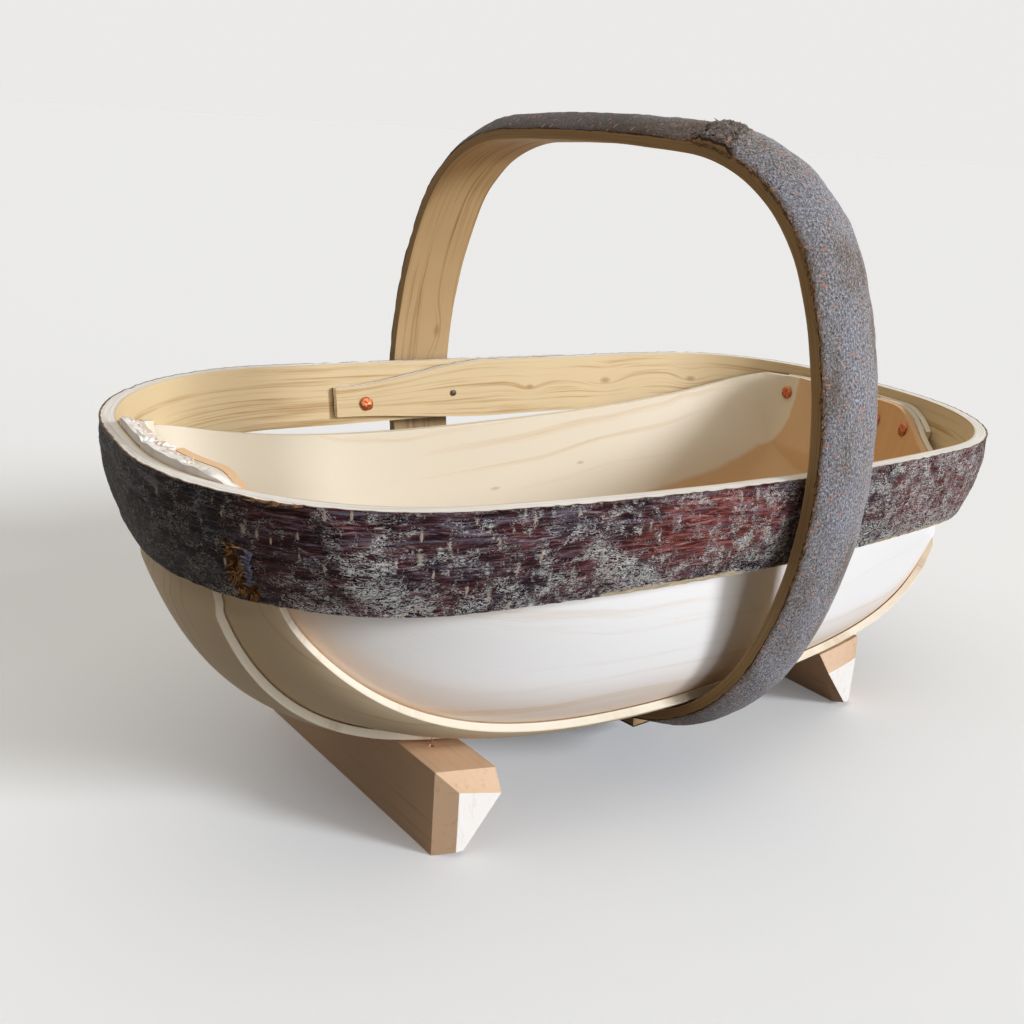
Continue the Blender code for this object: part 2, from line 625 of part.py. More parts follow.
def second_board_middles(lengthwise):
    """Places on the two second boards, midway between their lower edges and the side boards'."""
    sides = np.array([1, -1])
    along = np.full(2, lengthwise / RIM_HALF_LENGTH)
    for _ in range(SEARCH_ROUNDS):
        side_edge = np.where(sides > 0, side_back_lower(along), side_front_lower(along))
        share = sides * (second_lower(along) + side_edge) / 2
        places = hull(along, share)
        along = along + (lengthwise - places[:, 0]) / RIM_HALF_LENGTH
    return places[:, :2]


def rim_seats(along, drop):
    """Seat points, normals and insets from the outline on the rim's inner face."""
    place, inward = RIM.at(along)
    inset, thickness, _ = rim_strap(along)
    slope = RIM_FLARE / RIM_DEPTH_FRONT
    reach = inset + thickness + slope * drop
    seat = np.column_stack([place + inward * reach[:, None], rim_top(place) - drop])
    normal = np.column_stack([inward, np.full(len(along), slope)])
    return seat, normal / np.linalg.norm(normal, axis=-1, keepdims=True), reach


def tack_rings(seat, normal, profile):
    """Rings of points round an axis through the seat: profile rows are (height, radius)."""
    aside = np.cross(normal, [0, 0, 1]) + np.cross(normal, [0, 1, 0])
    aside = aside / np.linalg.norm(aside)
    across = np.cross(normal, aside)
    angle = np.linspace(0, 2 * np.pi, TACK_SIDES, endpoint=False)
    circle = np.cos(angle)[:, None] * aside + np.sin(angle)[:, None] * across
    return np.concatenate([seat + normal * height + circle * radius for height, radius in profile])


def turned(name, seats, normals, profiles, material):
    """One object of separate turned solids, each a profile turned about its own axis."""
    points = []
    faces = []
    for seat, normal, profile in zip(seats, normals, profiles):
        faces += tube_faces(len(profile), TACK_SIDES, len(points) * TACK_SIDES * len(profile))
        points.append(tack_rings(seat, normal, profile))
    return make_object(name, np.concatenate(points), faces, material)


def tacks(name, seats, normals, depths, shank, head, height, looks):
    """Tacks standing just clear of their seats, and the cutter for the holes they pass through."""
    cuts = []
    for number, depth in enumerate(depths):
        top = TACK_LIFT + height
        profile = [(-depth, shank * TACK_TIP_SHARE), (-depth + shank * 2, shank), (TACK_LIFT, shank),
                   (TACK_LIFT, head), (TACK_LIFT + height / 2, head), (top, head * TACK_DOME_SHARE)]
        label = f"{name}_{number + 1}"
        turned(label, seats[number:number + 1], normals[number:number + 1], [profile],
               finish(f"{label}_metal", *looks))
        cuts.append([(-depth - GAP, shank + GAP), (CUT_OVERRUN, shank + GAP)])
    cutter = turned(f"{name}_holes", seats, normals, cuts, finish(f"{name}_holes_mark", *looks))
    cutter.hide_render = True
    cutter.display_type = "WIRE"
    return cutter


def drill(item, cutter):
    """Cuts the cutter's holes out of a piece."""
    cut = item.modifiers.new("holes", "BOOLEAN")
    cut.operation = "DIFFERENCE"
    cut.solver = "EXACT"
    cut.object = cutter


def foot(name, side, front, material):
    """A wedge block across the trug: its top is hollowed to the centre board's underside."""
    outer = FOOT_OUTER_FACE
    inner = FOOT_OUTER_FACE - FOOT_TOP_WIDTH
    y = np.linspace(-front + FOOT_END_CHAMFER, FOOT_LENGTH - front - FOOT_END_CHAMFER,
                    FOOT_LENGTH_FACETS + 1)
    x = np.linspace(inner, outer, FOOT_TOP_FACETS + 1)
    grid_y, grid_x = np.meshgrid(y, x, indexing="ij")
    flat = FOOT_INNER_HEIGHT + (FOOT_OUTER_HEIGHT - FOOT_INNER_HEIGHT) * (grid_x - inner) / (outer - inner)
    reach = np.clip(grid_y, -FOOT_HOLLOW_REACH, FOOT_HOLLOW_REACH)
    targets = np.column_stack([side * grid_x.ravel(), reach.ravel()])
    guess = targets / [RIM_HALF_LENGTH, RIM_HALF_WIDTH]
    spot = find([0, 1], targets, guess)
    under = hull(spot[:, 0], spot[:, 1])[:, 2].reshape(flat.shape) - GAP
    top = np.minimum(flat, under)
    rings = []
    for row, place in enumerate(y):
        ring_x = np.concatenate([[outer, outer - FOOT_BOTTOM_WIDTH], x])
        ring_z = np.concatenate([[0, 0], top[row]])
        rings.append(np.column_stack([side * ring_x, np.full(len(ring_x), place), ring_z]))
    for row, step in ((0, -FOOT_END_CHAMFER), (-1, FOOT_END_CHAMFER)):
        span = (outer - FOOT_SIDE_CHAMFER) - (inner + FOOT_INNER_CHAMFER)
        end_x = inner + FOOT_INNER_CHAMFER + span * (x - inner) / (outer - inner)
        sole = [outer - FOOT_SIDE_CHAMFER, outer - FOOT_BOTTOM_WIDTH + FOOT_INNER_CHAMFER]
        ring_x = np.concatenate([sole, end_x])
        ring_z = np.concatenate([[FOOT_SOLE_CHAMFER] * 2, top[row] - FOOT_TOP_CHAMFER])
        ring = np.column_stack([side * ring_x, np.full(len(ring_x), y[row] + step), ring_z])
        rings.insert(0 if row == 0 else len(rings), ring)
    faces = tube_faces(len(rings), FOOT_TOP_FACETS + 3)
    return make_object(name, np.concatenate(rings), faces, material)


def main():
    for item in list(bpy.data.objects):
        bpy.data.objects.remove(item, do_unlink=True)
    rim = rim_hoop(finish("rim_chestnut_bark", (0.10, 0.06, 0.08), 0.7, 0))
    handle = handle_hoop(finish("handle_chestnut_bark", (0.16, 0.14, 0.14), 0.7, 0))
    centre = board("centre_board", centre_lower, centre_upper, 1, 0, CENTRE_STRIPS,
                   finish("centre_willow", (0.82, 0.72, 0.56), 0.55, 0))
    second_front = board("second_board_front", second_lower, second_upper, -1, 1, SECOND_STRIPS,
                         finish("second_front_willow", (0.80, 0.68, 0.52), 0.55, 0))
    second_back = board("second_board_back", second_lower, second_upper, 1, 1, SECOND_STRIPS,
                        finish("second_back_willow", (0.81, 0.69, 0.53), 0.55, 0))
    side_front = board("side_board_front", side_front_lower, side_upper, -1, 2, SIDE_STRIPS,
                       finish("side_front_willow", (0.84, 0.74, 0.58), 0.55, 0))
    side_back = board("side_board_back", side_back_lower, side_upper, 1, 2, SIDE_STRIPS,
                      finish("side_back_willow", (0.83, 0.73, 0.57), 0.55, 0))
    foot_left = foot("foot_left", -1, FOOT_LEFT_FRONT, finish("foot_left_wood", (0.72, 0.50, 0.36), 0.6, 0))
    foot_right = foot("foot_right", 1, FOOT_RIGHT_FRONT, finish("foot_right_wood", (0.72, 0.52, 0.38), 0.6, 0))

    copper = ((0.80, 0.36, 0.20), 0.4, 1)
    iron = ((0.20, 0.17, 0.16), 0.5, 1)
    tack = (TACK_SHANK_RADIUS, TACK_HEAD_RADIUS, TACK_HEAD_HEIGHT, copper)
    for word, side, shares in (("left", -1, TACK_LEFT_SHARES), ("right", 1, TACK_RIGHT_SHARES)):
        across = np.array(shares) * RIGHT_BACK_SPAN
        height = rim_top(np.array([[side * RIM_HALF_LENGTH, 0]])) - TACK_END_DROP
        targets = np.column_stack([across, np.full(len(across), height)])
        guess = np.column_stack([np.full(len(across), side * END_GUESS_SHARE), across / RIGHT_BACK_SPAN])
        seats, normals = board_seats([1, 2], targets, guess)
        cutter = tacks(f"{word}_end_tack", seats, normals, [TACK_END_DEPTH] * len(across), *tack)
        for item in (centre, second_front, second_back, side_front, side_back, rim):
            drill(item, cutter)

    across = np.array(TACK_HANDLE_SHARES) * BOARD_SIDE_HALF_WIDTH
    targets = np.column_stack([HANDLE_OFFSET + HANDLE_SKEW_SHARE * across, across])
    seats, normals = board_seats([0, 1], targets, targets / [RIM_HALF_LENGTH, RIM_HALF_WIDTH])
    cutter = tacks("handle_tack", seats, normals, [TACK_HANDLE_DEPTH] * len(across), *tack)
    for item in (centre, second_front, second_back, handle):
        drill(item, cutter)

    for word, side, item in (("left", -1, foot_left), ("right", 1, foot_right)):
        targets = second_board_middles(side * (FOOT_OUTER_FACE - TACK_FOOT_INSET))
        seats, normals = board_seats([0, 1], targets, targets / [RIM_HALF_LENGTH, RIM_HALF_WIDTH])
        cutter = tacks(f"foot_{word}_tack", seats, normals, [TACK_FOOT_DEPTH] * len(targets), *tack)
        for pierced in (centre, second_front, second_back, item):
            drill(pierced, cutter)

    seats, normals, _ = rim_seats(np.array([TACK_LAP_ALONG]), TACK_LAP_DROP)
    cutter = tacks("rim_lap_tack", seats, normals, [TACK_LAP_DEPTH], *tack)
    drill(rim, cutter)

    leg = HANDLE_OFFSET - HANDLE_SKEW_SHARE * RIM_HALF_WIDTH
    front = RIM.distance[np.argmin(np.hypot(*(RIM.points - [leg, -RIM_HALF_WIDTH]).T))]
    seats, normals, reach = rim_seats(np.array([PIN_ALONG, front]), PIN_DROP)
    bite = HANDLE_HALF_WIDTH - HANDLE_THICKNESS - RIM_HALF_WIDTH + PIN_BITE
    cutter = tacks("handle_pin", seats, normals, reach + bite,
                   PIN_SHANK_RADIUS, PIN_HEAD_RADIUS, PIN_HEAD_HEIGHT, iron)
    drill(rim, cutter)
    drill(handle, cutter)


main()
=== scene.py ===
"""Garden trug: bent chestnut straps with the bark left on, thin willow boards, copper tacks."""

import bmesh
import bpy
import numpy as np
from mathutils import Matrix


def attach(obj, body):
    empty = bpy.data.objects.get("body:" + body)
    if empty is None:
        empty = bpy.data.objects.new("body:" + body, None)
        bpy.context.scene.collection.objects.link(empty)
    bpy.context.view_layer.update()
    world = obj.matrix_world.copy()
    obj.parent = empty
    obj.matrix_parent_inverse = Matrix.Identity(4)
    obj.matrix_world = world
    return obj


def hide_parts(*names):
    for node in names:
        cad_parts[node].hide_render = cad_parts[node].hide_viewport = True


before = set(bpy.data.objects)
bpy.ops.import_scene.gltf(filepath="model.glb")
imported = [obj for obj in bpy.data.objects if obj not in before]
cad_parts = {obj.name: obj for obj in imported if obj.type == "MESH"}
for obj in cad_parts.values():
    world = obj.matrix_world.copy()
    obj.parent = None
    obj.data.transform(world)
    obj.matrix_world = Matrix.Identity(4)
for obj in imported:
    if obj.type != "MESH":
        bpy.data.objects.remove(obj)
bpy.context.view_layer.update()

# ---------------------------------------------------------------------------------------------
# Where the trug is looked at from, and the pale floor and soft window light that it stands in.
# The window is to the right and in front, so the handle throws its shadow on the rim.
# ---------------------------------------------------------------------------------------------
VIEW_PLACE = np.array([-0.34906, -0.38792, 0.26598])
YAW, PITCH, ROLL = np.radians([37.946, -18.056, 3.890])
SENSOR_MM, FOCAL_PIXELS, PICTURE_PIXELS = 36, 1173.9, 1024
ahead = np.array([np.sin(YAW) * np.cos(PITCH), np.cos(YAW) * np.cos(PITCH), np.sin(PITCH)])
level = np.array([np.cos(YAW), -np.sin(YAW), 0])
upward = np.cross(level, ahead)
right = np.cos(ROLL) * level + np.sin(ROLL) * upward
top = np.cos(ROLL) * upward - np.sin(ROLL) * level
lens = bpy.data.cameras.new("view")
lens.sensor_width = SENSOR_MM
lens.lens = SENSOR_MM * FOCAL_PIXELS / PICTURE_PIXELS
lens.clip_start = 0.01
camera = bpy.data.objects.new("view", lens)
bpy.context.scene.collection.objects.link(camera)
camera.matrix_world = Matrix([[*row, place] for row, place in
                              zip(np.stack([right, top, -ahead], 1), VIEW_PLACE)] + [[0, 0, 0, 1]])
bpy.context.scene.camera = camera
bpy.context.scene.view_settings.view_transform = "Standard"


def srgb(code):
    """Linear colour of an sRGB hex code: c/12.92 for dark values, ((c+0.055)/1.055)^2.4 above."""
    value = np.array([int(code[k:k + 2], 16) for k in (1, 3, 5)]) / 255
    value = np.where(value <= 0.04045, value / 12.92, ((value + 0.055) / 1.055) ** 2.4)
    return (*map(float, value), 1.0)


def add(tree, kind, inputs=(), out=0, stops=(), **settings):
    """Adds a shader node with its settings. Its inputs are values or links by socket, its stops are
    the places and colours or greys of a ramp. Gives the output numbered out."""
    node = tree.nodes.new("ShaderNode" + kind)
    for key, value in settings.items():
        setattr(node, key, value)
    for socket, value in dict(inputs).items():
        if isinstance(value, bpy.types.NodeSocket):
            tree.links.new(value, node.inputs[socket])
        else:
            node.inputs[socket].default_value = value
    for number, (place, colour) in enumerate(stops):
        ramp = node.color_ramp.elements
        stop = ramp[number] if number < 2 else ramp.new(place)
        stop.position = place
        stop.color = srgb(colour) if isinstance(colour, str) else (colour,) * 3 + (1.0,)
    return node.outputs[out]


def material(name):
    """A new material with its tree and Principled shader."""
    made = bpy.data.materials.new(name)
    made.use_nodes = True
    return made, made.node_tree, made.node_tree.nodes["Principled BSDF"]


world = bpy.data.worlds.new("room")
world.use_nodes = True
bpy.context.scene.world = world
tree = world.node_tree


def seen_directly(tree):
    """1 for camera, glossy and transmission rays, which see the pale room itself, otherwise 0."""
    path = tree.nodes.new("ShaderNodeLightPath").outputs
    seen = add(tree, "Math", {0: path["Is Camera Ray"], 1: path["Is Glossy Ray"]}, operation="MAXIMUM")
    return add(tree, "Math", {0: seen, 1: path["Is Transmission Ray"]}, operation="MAXIMUM")


# The pale room is seen at full strength and lights the trug weakly, because the lamps do that.
ROOM_LIGHT, ROOM_SEEN = 0.15, 0.86
strength = add(tree, "Mix", {0: seen_directly(tree), 2: ROOM_LIGHT, 3: ROOM_SEEN}, data_type="FLOAT")
tree.links.new(strength, tree.nodes["Background"].inputs["Strength"])
tree.nodes["Background"].inputs["Color"].default_value = srgb("#fbfaf8")

# The floor looks pale and meets the room without a line. To the light that it throws back up it is
# as brown as a wooden table.
FLOOR_REACH, FLOOR_GLOW = 60, 0.11
floor_mesh = bpy.data.meshes.new("floor")
floor_mesh.from_pydata([(-FLOOR_REACH, -FLOOR_REACH, 0), (FLOOR_REACH, -FLOOR_REACH, 0),
                        (FLOOR_REACH, FLOOR_REACH, 0), (-FLOOR_REACH, FLOOR_REACH, 0)],
                       [], [(0, 1, 2, 3)])
floor = bpy.data.objects.new("floor", floor_mesh)
bpy.context.scene.collection.objects.link(floor)
paint, tree, shader = material("pale_floor")
seen = seen_directly(tree)
colour = add(tree, "Mix", {0: seen, 6: srgb("#756a5e"), 7: srgb("#f2f2ef")}, out=2, data_type="RGBA")
tree.links.new(colour, shader.inputs["Base Color"])
shader.inputs["Emission Color"].default_value = srgb("#edf3ff")
glow = add(tree, "Math", {0: seen, 1: FLOOR_GLOW}, operation="MULTIPLY")
tree.links.new(glow, shader.inputs["Emission Strength"])
shader.inputs["Roughness"].default_value = 1.0
shader.inputs["Specular IOR Level"].default_value = 0.0
floor_mesh.materials.append(paint)


def far_light(name, watts, across_degrees, side_degrees, height_degrees, colour):
    """Light from far away, across_degrees wide in the sky, which makes the edges of shadows soft. It
    stands side_degrees round from the front and height_degrees up."""
    light = bpy.data.lights.new(name, "SUN")
    light.energy = watts
    light.angle = np.radians(across_degrees)
    light.color = srgb(colour)[:3]
    item = bpy.data.objects.new(name, light)
    bpy.context.scene.collection.objects.link(item)
    side, height = np.radians([side_degrees, height_degrees])
    facing = np.array([np.sin(side) * np.cos(height), -np.cos(side) * np.cos(height), np.sin(height)])
    across = np.cross([0, 0, 1], facing)
    across = across / np.linalg.norm(across)
    columns = np.stack([across, np.cross(facing, across), facing], 1)
    item.matrix_world = Matrix([[*row, spot] for row, spot in zip(columns, facing * 3)]
                               + [[0, 0, 0, 1]])


# The window's bright pane, its broad glow along the table, and warm light back from the ceiling.
far_light("window_light", 2.5, 14, 34, 21, "#f1f6ff")
far_light("low_window_light", 1.95, 50, 20, 6, "#f1f6ff")
far_light("ceiling_light", 1.15, 90, 200, 74, "#fff6ea")

# ---------------------------------------------------------------------------------------------
# The rim: one cleft strap of sweet chestnut coppice, 37 mm deep and 6 mm thick, steamed and bent
# into a long loop. Its bark stays on outside, its ends are lapped and tacked inside the back.
# ---------------------------------------------------------------------------------------------
GAP = 0.0003
RIM_LENGTH, RIM_WIDTH = 0.220, 0.1205
RIM_TOP, RIM_TILT = 0.1486, 0.0072
RIM_FRONT, RIM_BACK, RIM_WOOD, RIM_CROWN, RIM_FLARE = 0.037, 0.029, 0.006, 0.0025, 0.006
RIM_SKEW = 0.135
LAP_TAIL, LAP_TOE, LAP_EASE = 0.092, 0.060, 0.030
TAIL_THIN, TOE_THIN = 0.0035, 0.0018


def ease(value, start, end):
    """Smooth step from 0 at start to 1 at end: 3f^2 - 2f^3."""
    share = np.clip((value - start) / (end - start), 0, 1)
    return share * share * (3 - 2 * share)


def three_arcs(length, width, corner, side_degrees, end_degrees, points=160):
    """Quarter of a loop from (0, width) to (length, 0): a flat arc, a corner arc and a flat arc."""
    side, end = np.radians([side_degrees, end_degrees])
    turns = [[np.sin(side), 1 - np.cos(end)], [1 - np.cos(side), np.sin(end)]]
    more_side, more_end = np.linalg.solve(turns, [length - corner, width - corner])
    a = np.linspace(0, side, points)
    b = np.linspace(side, np.pi / 2 - end, points)[1:]
    c = np.linspace(np.pi / 2 - end, np.pi / 2, points)[1:]
    flat = np.stack([(more_side + corner) * np.sin(a),
                     width - (more_side + corner) * (1 - np.cos(a))], 1)
    bend = np.stack([more_side * np.sin(side) + corner * np.sin(b),
                     width - (more_side + corner) + more_side * np.cos(side) + corner * np.cos(b)], 1)
    last = np.stack([length - (more_end + corner) * (1 - np.sin(c)),
                     (more_end + corner) * np.cos(c)], 1)
    return np.concatenate([flat, bend, last])


def loop(points):
    """A closed loop as points, inward normals and distances, its first point repeated last."""
    points = points[np.hypot(*(np.roll(points, -1, 0) - points).T) > 0]
    turn = np.roll(points, -1, 0) - np.roll(points, 1, 0)
    turn = turn / np.hypot(*turn.T)[:, None]
    inward = np.stack([turn[:, 1], -turn[:, 0]], 1)
    points, inward = np.concatenate([points, points[:1]]), np.concatenate([inward, inward[:1]])
    distance = np.concatenate([[0], np.cumsum(np.hypot(*np.diff(points, axis=0).T))])
    return points, inward, distance


def along_loop(track, distance):
    """Point and inward normal at a distance round a loop, wrapping past its end."""
    points, inward, run = track
    wrapped = np.mod(distance, run[-1])
    place = np.stack([np.interp(wrapped, run, points[:, k]) for k in (0, 1)], -1)
    normal = np.stack([np.interp(wrapped, run, inward[:, k]) for k in (0, 1)], -1)
    return place, normal / np.linalg.norm(normal, axis=-1, keepdims=True)


def waves(u, v, lengths, seed, count=28):
    """Soft uneven relief from -1 to 1: a sum of plane waves whose lengths along u and v spread
    by half and twice round the given ones, with seeded directions and phases."""
    chance = np.random.default_rng(seed)
    rate_u = (2 * np.pi / (lengths[0] * 2 ** chance.uniform(-1, 1, count))
              * chance.choice([-1, 1], count))
    rate_v = 2 * np.pi / (lengths[1] * 2 ** chance.uniform(-1, 1, count))
    phase = chance.uniform(0, 2 * np.pi, count)
    total = np.zeros(np.broadcast(u, v).shape)
    for a, b, c in zip(rate_u, rate_v, phase):
        total = total + np.cos(u * a + v * b + c)
    return np.clip(total / np.sqrt(count) / 1.6, -1, 1)


def strap(name, rings, faces_of, along, across, marks, materials):
    """A closed strap: rings[i, j] are its points, j running round the section; capped at both ends.
    faces_of[j] is the material of the strip after point j; along and across give the grain map in
    metres; marks are named values per point for the materials."""
    count, size = rings.shape[:2]
    i, j = np.meshgrid(np.arange(count - 1), np.arange(size), indexing="ij")
    k = (j + 1) % size
    quads = np.stack([i * size + j, (i + 1) * size + j, (i + 1) * size + k, i * size + k], -1)
    quads = quads.reshape(-1, 4)
    caps = [list(range(size)), list(range((count - 1) * size, count * size))[::-1]]
    mesh = bpy.data.meshes.new(name)
    mesh.from_pydata(rings.reshape(-1, 3), [], quads.tolist() + caps)
    edge_u = np.broadcast_to(along[:, None], (count, size + 1))
    edge_v = np.broadcast_to(across, (count, size + 1))
    grain = np.stack([np.stack([edge_u[a, b], edge_v[a, b]], -1)
                      for a, b in ((i, j), (i + 1, j), (i + 1, j + 1), (i, j + 1))], 2)
    flat = rings.reshape(-1, 3)
    ends = np.concatenate([flat[caps[0]][:, [0, 2]], flat[caps[1]][:, [0, 2]]])
    mesh.uv_layers.new(name="grain").data.foreach_set("uv", np.concatenate(
        [grain.reshape(-1, 2), ends]).astype(np.float32).ravel())
    for label, values in marks.items():
        layer = mesh.attributes.new(label, "FLOAT", "POINT")
        layer.data.foreach_set(
            "value", np.broadcast_to(values, (count, size)).astype(np.float32).ravel())
    for item in materials:
        mesh.materials.append(item)
    slots = np.concatenate([np.tile(faces_of, count - 1), [faces_of[-1]] * 2]).astype(np.int32)
    mesh.polygons.foreach_set("material_index", slots)
    mesh.shade_smooth()
    mesh.set_sharp_from_angle(angle=np.radians(40))
    item = bpy.data.objects.new(name, mesh)
    bpy.context.scene.collection.objects.link(item)
    return item


# Each quarter of the rim: its corner's radius, and the degrees of its flat arcs at side and end.
back_right, front_right, front_left, back_left = (
    three_arcs(RIM_LENGTH, RIM_WIDTH, *bend) for bend in
    ((0.0855, 1.0, 7.3), (0.1015, 8.2, 7.3), (0.108, 8.2, 1.1), (0.0995, 1.0, 1.1)))
outline = np.concatenate([back_right, (front_right * [1, -1])[::-1][1:],
                          (front_left * [-1, -1])[1:], (back_left * [-1, 1])[::-1][1:-1]])
outline[:, 0] += RIM_SKEW * outline[:, 1]
rim_loop = loop(outline)
rim_round = rim_loop[2][-1]


def rim_top(place):
    """Height of the rim's top edge, rising to the left end."""
    return RIM_TOP - RIM_TILT * place[..., 0] / RIM_LENGTH


def rim_section(along):
    """Inset of the strap's outer face, its thickness and its crown, scarfed where the ends lap."""
    past = along - LAP_TOE
    tail = np.clip((along + LAP_TAIL) / (LAP_TAIL + LAP_TOE), 0, 1)
    toe = np.clip((rim_round + LAP_TOE - along) / (LAP_TAIL + LAP_TOE), 0, 1)
    scarf = RIM_WOOD - TOE_THIN
    thickness = np.where(past < 0, TAIL_THIN + (RIM_WOOD - TAIL_THIN) * tail, TOE_THIN + scarf * toe)
    single = ease(past, 0, LAP_EASE)
    inset = np.where(past < 0, RIM_WOOD - scarf * tail + GAP, (TOE_THIN + GAP) * (1 - single))
    return inset, thickness, RIM_CROWN * single


def streaks(tree, place, per_metre, detail=3.0, roughness=0.5, distortion=0.0):
    """Streaks or specks: even noise on a place stretched to so many lumps per metre each way."""
    stretched = add(tree, "Mapping", {0: place, 3: (*per_metre, 1.0)[:3]})
    return add(tree, "TexNoise", {0: stretched, 2: 1.0, 3: detail, 4: roughness, 8: distortion})


def pores(tree, grain, per_metre, size, spread):
    """Breathing pores: an ellipse in some cells of a grid, and a soft halo round each."""
    cell = add(tree, "Mapping", {0: grain, 3: (*per_metre, 1)})
    away = add(tree, "TexVoronoi", {0: cell, 2: 1.0}, voronoi_dimensions="2D")
    chance = add(tree, "TexVoronoi", {0: cell, 2: 1.0}, out=1, voronoi_dimensions="2D")
    chance = add(tree, "SeparateColor", {0: chance})
    reach = add(tree, "Math", {0: chance, 1: size + spread, 2: -spread}, operation="MULTIPLY_ADD")
    inside = add(tree, "Math", {0: reach, 1: away}, operation="SUBTRACT")
    round_it = add(tree, "Math", {0: inside, 1: 0.16}, operation="ADD")
    return (add(tree, "ValToRGB", {0: inside}, stops=((0.0, 0.0), (0.025, 1.0))),
            add(tree, "ValToRGB", {0: round_it}, stops=((0.0, 0.0), (0.20, 1.0))))


def make_rim_bark():
    """Young chestnut bark: maroon-black with a bluish bloom, wrinkled along the strap, with a network
    of grey lichen threads about 1 mm apart in patches, and pale upright breathing pores. Painted sheen
    lies on its ridges and along its top, and painted shade lies in its hollows and towards the left
    end."""
    bark, tree, shader = material("chestnut_bark_rim")
    grain = add(tree, "UVMap", uv_map="grain")
    red, dark, wax_and_sheen, bloom, scar, bare = (add(tree, "Attribute", attribute_name=label, out=2)
                                          for label in ("red", "dark", "wax_and_sheen", "bloom", "scar", "bare"))

    # Wrinkles 1 mm wide and 10 mm long, maroon or ruddy, black in the hollows as painted shade and pale
    # mauve or pink on the ridges as painted sheen.
    wrinkle = streaks(tree, grain, (105, 1000), 6.0, 0.66, 0.9)
    mauve = add(tree, "ValToRGB", {0: wrinkle}, stops=(
        (0.38, "#070304"), (0.48, "#27131a"), (0.57, "#57393f"), (0.68, "#a3929c")))
    ruddy = add(tree, "ValToRGB", {0: wrinkle}, stops=(
        (0.35, "#200a09"), (0.47, "#6e302a"), (0.58, "#ad675d"), (0.70, "#cfa8a0")))
    flush = streaks(tree, grain, (45, 70), 4.0)
    flush = add(tree, "ValToRGB", {0: flush}, stops=((0.42, 0.0), (0.68, 0.7)))
    flush = add(tree, "Math", {0: flush, 1: 0.6, 2: red}, operation="MULTIPLY_ADD")
    base = add(tree, "Mix", {0: flush, 6: mauve, 7: ruddy}, out=2, data_type="RGBA")
    uneven = add(tree, "ValToRGB", {0: streaks(tree, grain, (30, 55), 5.0, 0.6)},
                 stops=((0.32, 0.45), (0.62, 1.0)))
    base = add(tree, "Mix", {0: 0.7, 6: base, 7: uneven}, out=2, data_type="RGBA",
               blend_type="MULTIPLY")
    # Painted shade: the bark is darkened to near black round the front-left corner and the left end,
    # away from the window.
    base = add(tree, "Mix", {0: dark, 6: base, 7: srgb("#0d0806")}, out=2, data_type="RGBA")

    # Bluish bloom in long streaks, and painted sheen: the streaks are strongest along the top rows,
    # where the window's reflection lies.
    wax_and_sheen_streaks = add(tree, "ValToRGB", {0: streaks(tree, grain, (42, 480), 5.0, 0.66, 0.8)},
              stops=((0.52, 0.0), (0.64, 0.65)))
    wax_and_sheen_streaks = add(tree, "Math", {0: wax_and_sheen_streaks, 1: wax_and_sheen}, operation="MULTIPLY")
    base = add(tree, "Mix", {0: wax_and_sheen_streaks, 6: base, 7: srgb("#827d8c")}, out=2, data_type="RGBA")

    # Lichen: threads along the zero lines of a twisted noise, wider where a patch covers more.
    pore, halo = pores(tree, grain, (235, 76), 0.135, 0.11)
    cover = streaks(tree, grain, (120, 160), 6.0, 0.76, 0.5)
    cover = add(tree, "Math", {0: cover, 1: bloom}, operation="ADD")
    cover = add(tree, "Math", {0: halo, 1: 0.13, 2: cover}, operation="MULTIPLY_ADD")
    cover = add(tree, "ValToRGB", {0: cover}, stops=((0.455, 0.0), (0.64, 1.0)))
    # Less lichen shows in that painted shade.
    shaded = add(tree, "Math", {0: cover, 1: dark}, operation="MULTIPLY")
    cover = add(tree, "Math", {0: shaded, 1: -0.55, 2: cover}, operation="MULTIPLY_ADD")
    vein = streaks(tree, grain, (270, 760), 3.0, 0.60, 2.0)
    vein = add(tree, "Math", {0: vein, 1: 0.5}, operation="SUBTRACT")
    vein = add(tree, "Math", {0: vein}, operation="ABSOLUTE")
    thread = add(tree, "Math", {0: cover, 1: 0.062}, operation="MULTIPLY")
    thread = add(tree, "Math", {0: thread, 1: vein}, operation="SUBTRACT")
    lichen = add(tree, "ValToRGB", {0: thread}, stops=((0.0, 0.0), (0.017, 1.0)))
    base = add(tree, "Mix", {0: lichen, 6: base, 7: srgb("#d8d7d0")}, out=2, data_type="RGBA")
    base = add(tree, "Mix", {0: pore, 6: base, 7: srgb("#c9b39c")}, out=2, data_type="RGBA")

    # Torn inner bark in the scar, and bare wood where the knife has taken the edge of the bark off.
    torn = streaks(tree, grain, (420, 420), 5.0, 0.6, 1.2)
    under = add(tree, "ValToRGB", {0: torn}, stops=(
        (0.36, "#150b05"), (0.48, "#46290f"), (0.57, "#84592a"), (0.68, "#bb9058")))
    base = add(tree, "Mix", {0: scar, 6: base, 7: under}, out=2, data_type="RGBA")
    fray = add(tree, "Math", {0: streaks(tree, grain, (300, 500), 4.0), 1: 0.35, 2: bare},
               operation="MULTIPLY_ADD")
    fray = add(tree, "ValToRGB", {0: fray}, stops=((0.62, 0.0), (0.68, 1.0)))
    wood = add(tree, "ValToRGB", {0: wrinkle}, stops=((0.35, "#c7aa7d"), (0.60, "#e6d5b4")))
    base = add(tree, "Mix", {0: fray, 6: base, 7: wood}, out=2, data_type="RGBA")
    tree.links.new(base, shader.inputs["Base Color"])

